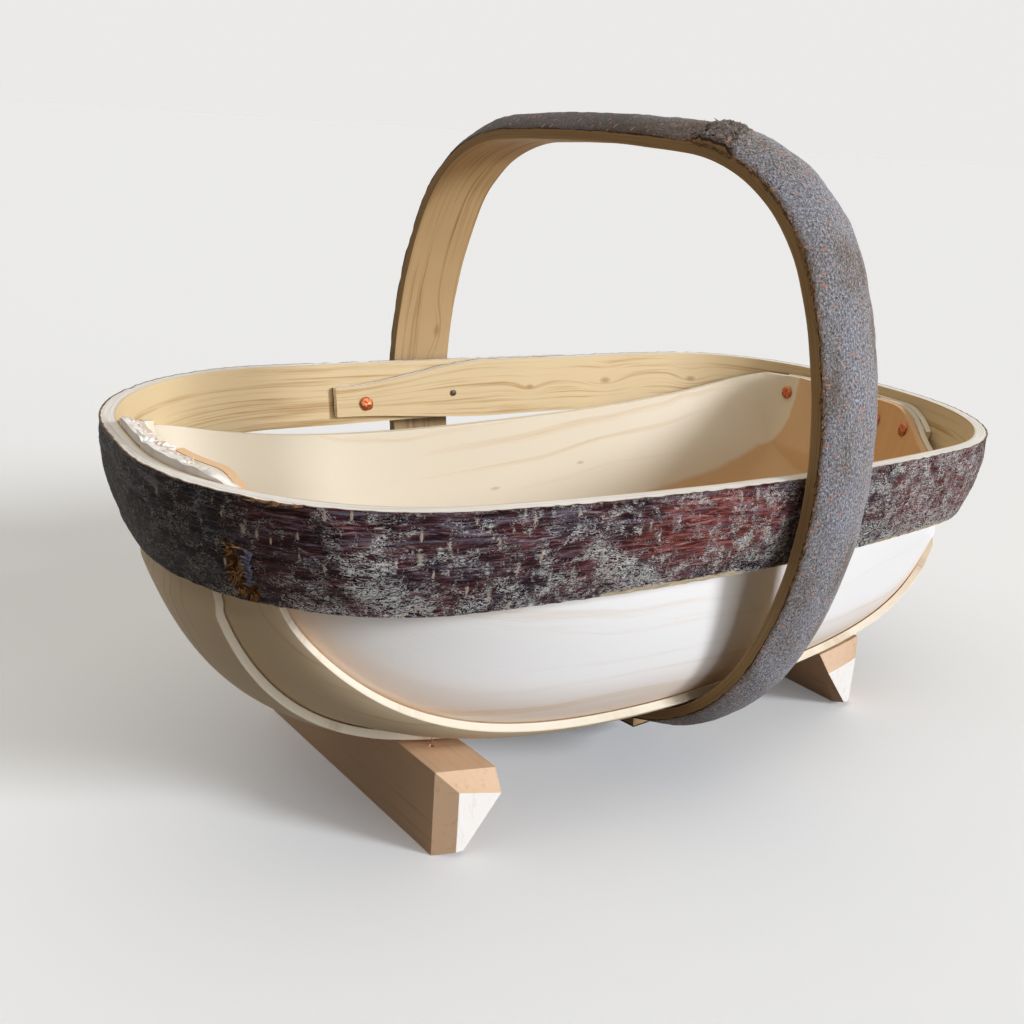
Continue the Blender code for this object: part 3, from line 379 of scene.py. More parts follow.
    rough = add(tree, "ValToRGB", {0: lichen}, stops=((0.0, 0.55), (0.6, 0.85)))
    tree.links.new(rough, shader.inputs["Roughness"])
    shader.inputs["Specular IOR Level"].default_value = 0.06
    height = add(tree, "Math", {0: lichen, 1: 0.35, 2: wrinkle}, operation="MULTIPLY_ADD")
    height = add(tree, "Math", {0: pore, 1: 0.35, 2: height}, operation="MULTIPLY_ADD")
    height = add(tree, "Mix", {0: scar, 2: height, 3: torn}, data_type="FLOAT")
    bump = add(tree, "Bump", {"Height": height, "Strength": 0.9, "Distance": 0.0012})
    tree.links.new(bump, shader.inputs["Normal"])
    return bark


def make_cleft_wood(name, pale, tan, cut, ring_mm, bark_line, knots):
    """Cleft chestnut: honey-cream with fine growth lines, bent round small knots, and a thin brown
    line of inner bark at its edge. A knot is (distance along, distance across, radius)."""
    wood, tree, shader = material(name)
    grain = add(tree, "UVMap", uv_map="grain")
    edge, depth = (add(tree, "Attribute", attribute_name=label, out=2) for label in ("edge", "depth"))

    # A knot pushes the lines aside by a bell curve of the distance from it, and has a dark eye.
    bend, eye = 0.0, 0.0
    for along, across, size in knots:
        away = add(tree, "VectorMath", {0: grain, 1: (-along, -across, 0)}, operation="ADD")
        away = add(tree, "VectorMath", {0: away, 1: (0.55, 1, 0)}, operation="MULTIPLY")
        away = add(tree, "VectorMath", {0: away}, out=1, operation="LENGTH")
        away = add(tree, "Math", {0: away, 1: size}, operation="DIVIDE")
        swell = add(tree, "Math", {0: away, 1: away}, operation="MULTIPLY")
        swell = add(tree, "Math", {0: swell, 1: -2.5}, operation="MULTIPLY")
        swell = add(tree, "Math", {0: swell}, operation="EXPONENT")
        bend = add(tree, "Math", {0: swell, 1: size * 0.45, 2: bend}, operation="MULTIPLY_ADD")
        middle = add(tree, "ValToRGB", {0: away}, stops=((0.07, 1.0), (0.20, 0.0)))
        eye = add(tree, "Math", {0: middle, 1: eye}, operation="MAXIMUM")
    bent = add(tree, "CombineXYZ", {1: bend})
    bent = add(tree, "VectorMath", {0: grain, 1: bent}, operation="ADD")

    # Growth lines ring_mm apart, with finer fibre and broad unevenness added.
    fibre = streaks(tree, bent, (50, 2600))
    broad = streaks(tree, grain, (12, 30))
    mixed = streaks(tree, bent, (7, 1000 / ring_mm), 4.0, 0.55, 0.3)
    mixed = add(tree, "Math", {0: fibre, 1: 0.22, 2: mixed}, operation="MULTIPLY_ADD")
    mixed = add(tree, "Math", {0: broad, 1: 0.35, 2: mixed}, operation="MULTIPLY_ADD")
    base = add(tree, "ValToRGB", {0: mixed}, stops=((0.60, pale), (0.80, pale), (1.16, tan)))
    eye = add(tree, "Math", {0: eye, 1: 0.55}, operation="MULTIPLY")
    base = add(tree, "Mix", {0: eye, 6: base, 7: srgb("#8f6a40")}, out=2, data_type="RGBA")

    # The cut edge is fresher and streaked, and the inner bark shows there as a thin brown line.
    streak = add(tree, "ValToRGB", {0: streaks(tree, grain, (22, 1900), 4.0, 0.6)},
                 stops=((0.44, 0.0), (0.68, 0.42)))
    fresh = add(tree, "Mix", {0: streak, 6: srgb(cut), 7: srgb(bark_line)}, out=2, data_type="RGBA")
    base = add(tree, "Mix", {0: edge, 6: base, 7: fresh}, out=2, data_type="RGBA")
    ragged = add(tree, "Math", {0: streaks(tree, grain, (260, 260), 4.0), 1: 0.0014, 2: depth},
                 operation="MULTIPLY_ADD")
    ragged = add(tree, "Math", {0: ragged, 1: 250.0}, operation="MULTIPLY")
    skin = add(tree, "ValToRGB", {0: ragged}, stops=(
        (0.20, "#20150e"), (0.27, bark_line), (0.34, bark_line), (0.42, "#ffffff")))
    base = add(tree, "Mix", {0: 1.0, 6: base, 7: skin}, out=2, data_type="RGBA", blend_type="MULTIPLY")
    tree.links.new(base, shader.inputs["Base Color"])

    shader.inputs["Roughness"].default_value = 0.58
    shader.inputs["Specular IOR Level"].default_value = 0.2
    bump = add(tree, "Bump", {"Height": mixed, "Strength": 0.30, "Distance": 0.0004})
    tree.links.new(bump, shader.inputs["Normal"])
    return wood


def on_rim_bark(u, drop):
    """Points on the rim's bark at a distance round it and a drop below its top, and the way out."""
    place, inward = along_loop(rim_loop, u)
    offset = RIM_FLARE * drop / RIM_FRONT - RIM_CROWN * (1 - (2 * drop / RIM_FRONT - 1) ** 2)
    return (np.column_stack([place + inward * offset[:, None], rim_top(place) - drop]),
            np.column_stack([-inward, 0 * u]))


def slivers(name, points, run, out, length, width, lift, paint, seed):
    """Loose fibres or flakes as thin tapering prisms: each starts at a point, goes along run, and
    curls away from the surface by lift * t^2."""
    chance = np.random.default_rng(seed)
    count = len(points)
    run = run / np.linalg.norm(run, axis=1, keepdims=True)
    side = np.cross(out, run)
    t = np.linspace(0, 1, 6)[None, :, None]
    wave = chance.uniform(-0.25, 0.25, (count, 1, 1)) * length[:, None, None]
    spine = (points[:, None] + run[:, None] * length[:, None, None] * t + side[:, None] * wave * t * t
             + out[:, None] * (lift[:, None, None] * t * t + 0.0001))
    half = width[:, None, None] * (1 - 0.93 * t ** 1.5) / 2
    prism = np.stack([spine - side[:, None] * half, spine + out[:, None] * half * 0.5,
                      spine + side[:, None] * half], 2)
    start = (np.arange(count) * 18)[:, None, None]
    i, j = np.meshgrid(np.arange(5), np.arange(3), indexing="ij")
    k = (j + 1) % 3
    quads = np.stack([i * 3 + j, i * 3 + k, (i + 1) * 3 + k, (i + 1) * 3 + j],
                     -1).reshape(1, -1, 4) + start
    ends = np.concatenate([np.array([[[0, 2, 1]]]) + start, np.array([[[15, 16, 17]]]) + start])
    mesh = bpy.data.meshes.new(name)
    mesh.from_pydata(prism.reshape(-1, 3), [],
                     quads.reshape(-1, 4).tolist() + ends.reshape(-1, 3).tolist())
    mesh.materials.append(paint)
    item = bpy.data.objects.new(name, mesh)
    bpy.context.scene.collection.objects.link(item)
    return item


def make_fibre(name, dark, light):
    """Torn fibre: matt, and streaky every 1.5 mm."""
    fibre, tree, shader = material(name)
    streak = streaks(tree, add(tree, "TexCoord", out=3), (700, 700, 700))
    colour = add(tree, "ValToRGB", {0: streak}, stops=((0.35, dark), (0.65, light)))
    tree.links.new(colour, shader.inputs["Base Color"])
    shader.inputs["Roughness"].default_value = 0.8
    return fibre


def spot(u, v, centre, size, tilt=0.0):
    """1 at a centre and 0 past an ellipse of this size round it, its long axis leaning by tilt."""
    a, b = u - centre[0] + tilt * (v - centre[1]), v - centre[1]
    return 1 - ease(np.hypot(a / size[0], b / size[1]), 0.55, 1.0)


EDGE_ROWS = 5


def strap_section():
    """Points round a strap's section, as shares of its width and of its thickness: over the bark,
    across the far edge, back along the inner face and across the near edge. The third is 1 for the
    strips that are wood and 0 for bark."""
    bark, wood = 34, 12
    edge = np.linspace(0, 1, EDGE_ROWS + 2)[1:-1]
    width = np.concatenate([np.linspace(0, 1, bark), np.ones(EDGE_ROWS), np.linspace(1, 0, wood),
                            np.zeros(EDGE_ROWS)])
    depth = np.concatenate([np.zeros(bark), edge, np.ones(wood),
                            np.linspace(1, 0, EDGE_ROWS + 2)[1:-1]])
    return width[None, :], depth[None, :], np.where((depth == 0) & (np.roll(depth, -1) == 0), 0, 1)


def section_girth(width_share, depth_share, width, thickness):
    """Metres round the section at each of its points, and back at the first."""
    steps = np.abs(np.diff(width_share[0])) * width + np.abs(np.diff(depth_share[0])) * thickness
    girth = np.concatenate([[0], np.cumsum(steps)])
    return np.concatenate([girth, [girth[-1] + thickness / EDGE_ROWS]])[None, :]


rim_bark = make_rim_bark()
rim_wood = make_cleft_wood("cleft_chestnut_rim", "#d3bb91", "#ab8854", "#f7f3ea", 2.6, "#8a6a46", (
    (0.029, 0.061, 0.009), (0.086, 0.062, 0.014), (0.155, 0.061, 0.013), (0.92, 0.060, 0.012)))

# The strap's run, from the tail of the lap inside round to the toe outside. It is shallower at the
# back, and its tail is trimmed to lie inside the other end.
along = np.linspace(-LAP_TAIL, rim_round + LAP_TOE, 1300)
place, inward = along_loop(rim_loop, along)
inset, thickness, crown = (value[:, None] for value in rim_section(along))
trim = 1 - ease(along + LAP_TAIL, 0, 0.095)[:, None]
height_there = rim_top(place)[:, None]
back_share = ease(place[:, 1] / RIM_WIDTH, 0, 1)
high = 0.0106 * trim
low = (RIM_FRONT + (RIM_BACK - RIM_FRONT) * back_share)[:, None] - 0.0045 * trim
down, into, strips = strap_section()
on_bark = into == 0
u = along[:, None]
drop = high + (low - high) * down

# Relief, in metres: wavy edges, soft wrinkles and lumps of the bark, and a torn scar below the lap.
# Places on the bark are (metres round the rim from the lap, metres below its top).
lip = np.abs(waves(u, 0 * down, (0.022, 1), 3)) * 0.0004
drop = drop + np.where(into < 0.3, (1 - down * 2) * lip * (np.abs(down - 0.5) > 0.47), 0)
bulge = crown * (1 - (2 * down - 1) ** 2)
torn = drop + waves(u, drop, (0.004, 0.004), 41) * 0.0016
scar = on_bark * np.maximum(spot(u, torn, (0.7985, 0.0305), (0.0062, 0.0085), 0.3),
                            spot(u, torn, (0.8008, 0.0220), (0.0034, 0.0080), 0.3))
scar = ease(scar, 0.25, 0.6)
rough = waves(u, drop, (0.012, 0.0035), 5) * 0.00016 + waves(u, drop, (0.03, 0.02), 7) * 0.00022
hollow = waves(u, drop, (0.0035, 0.006), 43) * 0.0006 + 0.0011
lump = (spot(u, drop, (0.7665, 0.0082), (0.006, 0.006)) * 0.0012
        + spot(u, drop, (0.660, 0.026), (0.012, 0.012)) * 0.0009
        + spot(u, drop, (0.757, 0.020), (0.014, 0.014)) * 0.0008)
relief = 0.0004 - rough - lump + hollow * scar
away_from_edges = ease(down, 0, 0.05) * (1 - ease(down, 0.95, 1))
relief = relief * on_bark * away_from_edges * ease(u, LAP_TOE, LAP_TOE + 0.02)
wander = waves(u, drop, (0.045, 0.05), 11) * 0.00016
offset = inset - bulge + relief + (thickness + bulge - relief + np.where(into == 1, wander, 0)) * into
offset = offset + RIM_FLARE * drop / RIM_FRONT
flat = place[:, None] + inward[:, None] * offset[..., None]
rings = np.concatenate([flat, (height_there - drop)[..., None]], 2)

# Where the bark is ruddy, scarred or thick with lichen, and where its edge is bare. Also where painted
# shade darkens it towards the left end, and where bluish bloom and painted sheen streak its top rows.
bloom = (0.09 * spot(u, drop, (0.756, 0.022), (0.010, 0.022), 0.75)
         + 0.12 * spot(u, drop, (0.660, 0.028), (0.014, 0.018), 1.4)
         - 0.05 * spot(u, drop, (0.775, 0.010), (0.03, 0.012))
         + 0.05 * ease(drop, 0.020, 0.034) + 0.07 * ease(u, 0.78, 0.82)
         + 0.07 * (1 - ease(u, 0.55, 0.64)))
low_edge = ease(drop, RIM_FRONT - 0.0045, RIM_FRONT - 0.0008)
high_edge = 1 - ease(drop, 0.0006, 0.0022)
rim_marks = {
    "depth": into * RIM_WOOD,
    "edge": (into > 0) & (into < 1),
    "red": (0.75 * spot(u, drop, (0.625, 0.014), (0.045, 0.019))
            + 0.55 * spot(u, drop, (0.47, 0.015), (0.06, 0.026))),
    "scar": scar,
    "bloom": bloom,
    # painted shade round the front-left corner and the left end
    "dark": 0.88 * ease(u, 0.755, 0.815) * (1 - ease(u, 0.93, 1.10)),
    # bluish bloom streaks and painted sheen, strongest along the top rows
    "wax_and_sheen": 0.35 + 0.65 * (1 - ease(drop, 0.004, 0.022)),
    "bare": (low_edge * (0.62 * spot(u, drop, (0.635, 0.037), (0.05, 0.02))
                         + 0.5 * spot(u, drop, (0.48, 0.037), (0.06, 0.02)))
             + 0.5 * high_edge * spot(u, drop, (0.785, 0.0), (0.014, 0.01)))}
around = section_girth(down, into, RIM_FRONT, RIM_WOOD)
rim = strap("chestnut_rim", rings, strips, along, around, rim_marks, [rim_bark, rim_wood])
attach(rim, "root")
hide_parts("rim_hoop")

# Loose fibres and flakes in the scar, and fibres along the top edge above it.
chance = np.random.default_rng(51)
tan_fibre = make_fibre("torn_inner_bark", "#5c3a1c", "#b08551")
dark_flake = make_fibre("lifted_bark_flake", "#191218", "#5a5668")
count = 26
u, drop = chance.uniform(0.7945, 0.8025, count), chance.uniform(0.017, 0.034, count)
points, out = on_rim_bark(u, drop)
run = on_rim_bark(u + 0.002, drop + 0.003 * chance.uniform(-1, 3, count))[0] - points
fibres = slivers("rim_scar_fibres", points - out * 0.0006, run, out,
                 chance.uniform(0.002, 0.006, count), chance.uniform(0.0004, 0.0010, count),
                 chance.uniform(0.0002, 0.0014, count), tan_fibre, 52)
count = 9
u, drop = 0.7935 + chance.uniform(0, 0.0022, count), 0.0195 + np.linspace(0, 0.011, count)
points, out = on_rim_bark(u, drop)
run = on_rim_bark(u + 0.003, drop - 0.002)[0] - points
flakes = slivers("rim_scar_flakes", points - out * 0.0002, run, out,
                 chance.uniform(0.002, 0.0035, count), chance.uniform(0.0016, 0.0026, count),
                 chance.uniform(0.0006, 0.0016, count), dark_flake, 53)
count = 22
u = chance.uniform(0.776, 0.793, count)
points, out = on_rim_bark(u, chance.uniform(0.0002, 0.0012, count))
run = on_rim_bark(u + 0.004, chance.uniform(0, 0.0015, count))[0] - points
ragged = slivers("rim_edge_fibres", points, run, out, chance.uniform(0.002, 0.005, count),
                 chance.uniform(0.0003, 0.0008, count), chance.uniform(0, 0.0006, count), tan_fibre, 54)
for item in (fibres, flakes, ragged):
    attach(item, "root")

# ---------------------------------------------------------------------------------------------
# The handle: a second chestnut strap, 32.5 mm wide, bent upright round the outside of the rim and
# under the boards, where its ends are shaved thin and lapped. Older, greyer bark is left on it.
# ---------------------------------------------------------------------------------------------
HANDLE_CLEAR, HANDLE_WOOD, HANDLE_WIDE = 0.0008, 0.005, 0.0325
LEG_CROWN, TOP_CROWN = 0.0054, 0.0074
HANDLE_REACH = RIM_WIDTH + RIM_CROWN + HANDLE_CLEAR + HANDLE_WOOD
HANDLE_TOP, HANDLE_MIDDLE, HANDLE_FOOT = 0.268, 0.144, 0.0129
HANDLE_SHIFT, HANDLE_SKEW, HANDLE_LEAN = -0.0036, -0.109, 0.017
HANDLE_TAIL, FLAP, HANDLE_EASE = 0.036, 0.046, 0.028
FLAP_THIN, FLAP_CROWN, FLAP_NARROWER = 0.0036, 0.0008, 0.013
KNOT_PLACE, KNOT_SIZE = (0.361, 0.004), (0.013, 0.015)
front = three_arcs(HANDLE_REACH, HANDLE_TOP - HANDLE_MIDDLE, 0.0735, 3.8, 23)
back = three_arcs(HANDLE_REACH, HANDLE_TOP - HANDLE_MIDDLE, 0.066, 3.8, 25)
below = three_arcs(HANDLE_REACH, HANDLE_MIDDLE - HANDLE_FOOT, 0.0855, 18.6, 25.4)
outline = np.concatenate([below * [-1, -1], (front * [-1, 1])[::-1][1:], back[1:],
                          (below * [1, -1])[::-1][1:-1]])
outline[:, 1] += HANDLE_MIDDLE
handle_loop = loop(outline)
handle_round = handle_loop[2][-1]


def handle_crown(height):
    """How far the middle of the bark stands out: less at the legs and more at the top."""
    return LEG_CROWN + (TOP_CROWN - LEG_CROWN) * ease(height, 0.190, 0.262)


def strap_line(across, flat):
    """Distance along the trug of points of the handle: it is set a little askew and leans."""
    return (HANDLE_SHIFT + across + HANDLE_SKEW * flat[..., 0]
            + HANDLE_LEAN * (flat[..., 1] - HANDLE_MIDDLE))


def make_handle_bark():
    """Older chestnut bark: slate-grey over brown, granular at about 1 mm, with short salmon breathing
    pores across the strap, often in pairs."""
    bark, tree, shader = material("chestnut_bark_handle")
    grain = add(tree, "UVMap", uv_map="grain")
    worn, dark = (add(tree, "Attribute", attribute_name=label, out=2) for label in ("worn", "dark"))
    speck = streaks(tree, grain, (950, 1500), 4.0, 0.8, 0.5)
    broad = streaks(tree, grain, (26, 60), 5.0, 0.6)
    base = add(tree, "ValToRGB", {0: speck}, stops=(
        (0.35, "#423e3e"), (0.46, "#827d7d"), (0.54, "#aaa7a8"), (0.65, "#dcdad9")))
    # Broad tone from brownish to pale. Its bluish top is a painted sheen.
    tone = add(tree, "ValToRGB", {0: broad}, stops=(
        (0.32, "#b7a692"), (0.46, "#e6e3e1"), (0.64, "#f1f5ff")))
    base = add(tree, "Mix", {0: 1.0, 6: base, 7: tone}, out=2, data_type="RGBA", blend_type="MULTIPLY")

    # Brown where hands and the broken knot have rubbed the grey off, and at the edges.
    worn = add(tree, "Math", {0: worn, 1: 0.85}, operation="MULTIPLY")
    brown = add(tree, "ValToRGB", {0: speck}, stops=(
        (0.30, "#20150c"), (0.5, "#5a4128"), (0.7, "#97774e")))
    base = add(tree, "Mix", {0: worn, 6: base, 7: brown}, out=2, data_type="RGBA")
    base = add(tree, "Mix", {0: dark, 6: base, 7: srgb("#33261a")}, out=2, data_type="RGBA")

    # Pores 2.5 mm apart along the strap, each up to 3 mm long across it.
    pore, _ = pores(tree, grain, (400, 125), 0.175, 0.03)
    faint = add(tree, "Math", {0: pore, 1: 0.9}, operation="MULTIPLY")
    base = add(tree, "Mix", {0: faint, 6: base, 7: srgb("#c48a6e")}, out=2, data_type="RGBA")
    tree.links.new(base, shader.inputs["Base Color"])

    shader.inputs["Roughness"].default_value = 0.62
    shader.inputs["Specular IOR Level"].default_value = 0.2
    height = add(tree, "Math", {0: pore, 1: 0.35, 2: speck}, operation="MULTIPLY_ADD")
    height = add(tree, "Math", {0: broad, 1: 0.8, 2: height}, operation="MULTIPLY_ADD")
    bump = add(tree, "Bump", {"Height": height, "Strength": 0.7, "Distance": 0.0008})
    tree.links.new(bump, shader.inputs["Normal"])
    return bark


handle_bark = make_handle_bark()
handle_wood = make_cleft_wood("cleft_chestnut_handle", "#b8996e", "#8a693d", "#a3845b", 2.2,
                              "#4f3620", ((0.614, 0.046, 0.012),))

# The strap's run: its tail starts under the boards, and its other end lies straight beneath it.
end = handle_round + FLAP
along = np.linspace(-HANDLE_TAIL, end, 1150)
place, inward = along_loop(handle_loop, along)
flap_start = handle_round + HANDLE_TAIL / 2
straight, straight_inward = along_loop(handle_loop, np.array(flap_start))
beyond = np.maximum(along - flap_start, 0)[:, None]
place = np.where(beyond > 0, straight - np.array([1, 0]) * beyond, place)
inward = np.where(beyond > 0, straight_inward, inward)
inner_lap = 1 - ease(along, FLAP, FLAP + HANDLE_EASE)
outer_lap = ease(along, handle_round - HANDLE_TAIL - HANDLE_EASE, handle_round - HANDLE_TAIL)
thin = np.maximum(inner_lap, outer_lap)[:, None]
thickness = HANDLE_WOOD + (FLAP_THIN - HANDLE_WOOD) * thin
crown = handle_crown(place[:, 1:])
crown = crown + (FLAP_CROWN - crown) * thin
inner_face = HANDLE_WOOD - (FLAP_THIN + FLAP_CROWN + GAP) * outer_lap[:, None]
narrowing = FLAP_NARROWER * ease(along, handle_round - FLAP, end)[:, None]
low = narrowing * 2 / HANDLE_WIDE - 1
side, into, strips = strap_section()
share = low + (1 - low) * side
u = along[:, None]
crossways = share * HANDLE_WIDE / 2

# Relief, in metres: soft wrinkles of the bark, a broken knot on the front shoulder and wavy edges.
rough = (waves(u, crossways, (0.010, 0.006), 21) * 0.00015
         + waves(u, crossways, (0.035, 0.03), 23) * 0.0003)
knot = spot(u, side * HANDLE_WIDE, KNOT_PLACE, KNOT_SIZE)
ridge = waves(u, crossways, (0.005, 0.004), 25) * 0.0008
relief = np.where(into == 0, 0.00045 - rough, 0.0) * (1 - thin) - knot * (0.0024 + ridge) * (1 - into)
outer_offset = inner_face - thickness - crown * (1 - share ** 2) + relief
wander = waves(u, crossways, (0.04, 0.05), 27) * 0.00015
offset = outer_offset + (inner_face - outer_offset + np.where(into == 1, wander, 0)) * into
lip = np.abs(waves(u, 0 * side, (0.022, 1), 29)) * 0.0004
crossways = crossways + np.where((into < 0.3) & (np.abs(side - 0.5) > 0.49), (1 - 2 * side) * lip, 0)
flat = place[:, None] + inward[:, None] * offset[..., None]
rings = np.concatenate([strap_line(crossways, flat)[..., None], flat], 2)

worn = 0.45 * knot + 0.5 * spot(u, side * HANDLE_WIDE, (0.385, 0.005), (0.022, 0.012))
worn = np.clip(worn + (1 - ease(side, 0.0, 0.06)) + ease(side, 0.96, 1.0), 0, 1)
handle_marks = {
    "dark": 0.72 * spot(u, side * HANDLE_WIDE, (0.47, 0.0), (0.11, 0.03)),
    "depth": into * HANDLE_WOOD,
    "edge": (into > 0) & (into < 1),
    "worn": worn}
around = section_girth(side, into, HANDLE_WIDE, HANDLE_WOOD)
handle = strap("chestnut_handle", rings, strips, along, around, handle_marks,
               [handle_bark, handle_wood])
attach(handle, "root")
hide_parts("handle_hoop")


def on_handle_bark(u, share):
    """Points on the handle's bark at a distance round it and a share of half its width, and the way
    out."""
    place, inward = along_loop(handle_loop, u)
    flat = place - inward * (handle_crown(place[:, 1]) * (1 - share ** 2))[:, None]
    return (np.column_stack([strap_line(share * HANDLE_WIDE / 2, flat), flat]),
            np.column_stack([0 * u, -inward]))


# Fibres along the knife-cut edge that faces the left end, and flakes of bark round the knot.
dark_fibre = make_fibre("bark_edge_fibre", "#2c1c10", "#9a7040")
grey_flake = make_fibre("handle_bark_flake", "#2b2523", "#8d8378")
count, edge_share = 150, -0.995
u = chance.uniform(0.17, 0.37, count)
points, out = on_handle_bark(u, np.full(count, edge_share))
points = points - out * chance.uniform(0.0, 0.0016, (count, 1))
run = on_handle_bark(u + 0.004, edge_share + chance.uniform(-0.05, 0.05, count))[0] - points
outward = out * 0.3 + np.array([-0.95, 0, 0])
outward = outward / np.linalg.norm(outward, axis=1, keepdims=True)
edge_fibres = slivers("handle_edge_fibres", points, run, outward, chance.uniform(0.002, 0.007, count),
                      chance.uniform(0.0004, 0.0010, count), chance.uniform(0.0, 0.0008, count),
                      dark_fibre, 55)
count = 46
u, share = chance.uniform(0.352, 0.374, count), chance.uniform(-0.98, -0.35, count)
points, out = on_handle_bark(u, share)
run = on_handle_bark(u + chance.choice([-0.004, 0.004], count), share + 0.12)[0] - points
swelling = 0.0016 * spot(u, (share + 1) / 2 * HANDLE_WIDE, KNOT_PLACE, KNOT_SIZE)
knot_flakes = slivers("handle_knot_flakes", points + out * swelling[:, None], run, out,
                      chance.uniform(0.002, 0.0055, count), chance.uniform(0.0008, 0.0020, count),
                      chance.uniform(0.0002, 0.0012, count), grey_flake, 56)
for item in (edge_fibres, knot_flakes):
    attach(item, "root")

# ---------------------------------------------------------------------------------------------
# The five boards: cricket-bat willow sawn and shaved to about 3 mm, soaked and bent lengthwise
# into a boat, each lapped over the one below it and tacked inside the rim at both ends.
# ---------------------------------------------------------------------------------------------
BOARD, LAYER = 0.0035, 0.0039
SIDE_HALF = RIM_WIDTH - RIM_WOOD - 0.0110
SIDE_TOP = RIM_TOP - 0.0306
LEAN_START, LEAN_FULL = 0.12, 1.15
WALL_REACH, WALL_START = 0.048, 0.72
# For each end of the boat, right or not: how far level a line starts out and how steeply it arrives,
# as shares of the way, and how deep below the rim's top its middle line ends.
RISES = {True: (0.87, 0.94), False: (0.70, 0.82)}
MIDDLE_DROP = {True: 0.0045, False: -0.0015}
# For each end and side, right or not and back or not: the metres of rim that the board ends span
# from the middle, the depth of the outermost line there, and the share where it starts to fall.
SPANS = {(False, False): (0.088, 0.012, 0.60), (False, True): (0.088, 0.014, 0.20),
         (True, False): (0.088, 0.031, 0.22), (True, True): (0.086, 0.0064, 0.60)}


def middle_section(share):
    """Half section at the middle: the handle's inner face low down, leaning in to pass the rim."""
    place, inward = along_loop(handle_loop, np.linspace(0, handle_round / 2, 640))
    bowl = place + inward * (HANDLE_WOOD + GAP)
    bowl = bowl[bowl[:, 1] < SIDE_TOP]
    rise = (bowl[:, 1] - bowl[0, 1]) / (SIDE_TOP - bowl[0, 1])
    lean = ease(rise, LEAN_START, LEAN_FULL)
    width = np.abs(bowl[:, 0]) - (abs(bowl[-1, 0]) - SIDE_HALF) * lean / lean[-1]
    girth = np.concatenate([[0], np.cumsum(np.hypot(np.diff(width), np.diff(bowl[:, 1])))])
    wanted = np.abs(share) * girth[-1]
    return np.interp(wanted, girth, width), np.interp(wanted, girth, bowl[:, 1])


def board_end(share, right):
    """End of the line of this share of the girth, on the rim's inner face, and the wall beyond it."""
    sign = 1 if right else -1
    points, _, run = rim_loop
    ahead = np.where(points[:-1, 0] * sign > 0, np.abs(points[:-1, 1]), run[-1])
    middle = run[np.argmin(ahead)]
    back = share > 0
    span, corner, fall = (np.where(back, SPANS[right, True][k], SPANS[right, False][k])
                          for k in (0, 1, 2))
    place, inward = along_loop(rim_loop, middle - sign * share * span)
    drop = MIDDLE_DROP[right] + (corner - MIDDLE_DROP[right]) * ease(np.abs(share), fall, 1)
    end = np.concatenate([place + inward * (RIM_WOOD + GAP), (rim_top(place) - drop)[..., None]], -1)
    place, inward = along_loop(rim_loop, middle - sign * (share * span + np.sign(share) * WALL_REACH))
    return end, place + inward * (RIM_WOOD + GAP)


def hull(along, share):
    """Outer face of the boat: each line of equal share is a cubic curve from the middle section
    to the rim, level at first and then rising plumb, or along the wall near the sides."""
    along, share = np.broadcast_arrays(along, share)
    width, height = middle_section(share)
    start = np.stack([np.zeros_like(width), width * np.sign(share), height], -1)
    points = np.zeros(along.shape + (3,))
    for right, (full, steep) in RISES.items():
        end, wall = board_end(share, right)
        first = start.copy()
        first[..., 0] += full * (end[..., 0] - start[..., 0])
        fall = steep * (end[..., 2] - start[..., 2])
        plumb = end.copy()
        plumb[..., 2] -= fall
        hugging = np.concatenate([wall, (end[..., 2] - fall * 0.5)[..., None]], -1)
        second = plumb + (hugging - plumb) * ease(np.abs(share), WALL_START, 1)[..., None]
        t = np.abs(along)[..., None]
        curve = ((1 - t) ** 3 * start + 3 * (1 - t) ** 2 * t * first
                 + 3 * (1 - t) * t ** 2 * second + t ** 3 * end)
        points = np.where(((along >= 0) if right else (along < 0))[..., None], curve, points)
    return points


def nearest_on_rim(places):
    """Inward distance of each place from the rim's outline, and the inward normal there: the nearest
    of its points, moved along the outline to the foot of the perpendicular."""
    points, inward, run = (value[:-1:3] for value in rim_loop)
    index = np.argmin(((places[:, None] - points[None]) ** 2).sum(2), 1)
    ahead = ((places - points[index]) * np.stack([-inward[index, 1], inward[index, 0]], 1)).sum(1)
    foot, normal = along_loop(rim_loop, run[index] - ahead)
    return ((places - foot) * normal).sum(1), normal


def shell(along, share, height):
    """Points at a height above the boat's outer face, pushed inwards where the rim is in the way."""
    step = 0.001
    points = hull(along, share)
    normal = np.cross(hull(along + step, share) - hull(along - step, share),
                      hull(along, share + step) - hull(along, share - step))
    normal = normal / np.linalg.norm(normal, axis=-1, keepdims=True)
    _, inward = nearest_on_rim(points.reshape(-1, 3)[:, :2])
    wall = np.column_stack([inward, np.zeros(len(inward))]).reshape(points.shape)
    free = ease((rim_top(points) - points[..., 2]) / RIM_FRONT, 0.9, 1.7)[..., None]
    normal = normal * free + wall * (1 - free)
    normal = normal / np.linalg.norm(normal, axis=-1, keepdims=True)
    height = np.broadcast_to(height, points.shape[:-1])
    lifted = (points + normal * height[..., None]).reshape(-1, 3)
    depth, inward = nearest_on_rim(lifted[:, :2])
    down = (rim_top(lifted) - lifted[:, 2]) / RIM_FRONT
    slope = np.clip(down, 0, 1.25) - np.maximum(down - 1.25, 0) * 0.6
    push = np.maximum(RIM_WOOD + RIM_FLARE * slope + height.ravel() + GAP - depth, 0)
    lifted[:, :2] += inward * push[:, None]
    return lifted.reshape(points.shape)


def edge_line(middle, left, right):
    """A board edge as a share of the girth, moving from its middle value to its end values."""
    def line(along):
        end = np.where(along < 0, left, right)
        return middle + (end - middle) * ease(np.abs(along), 0.15, 1.03)
    return line


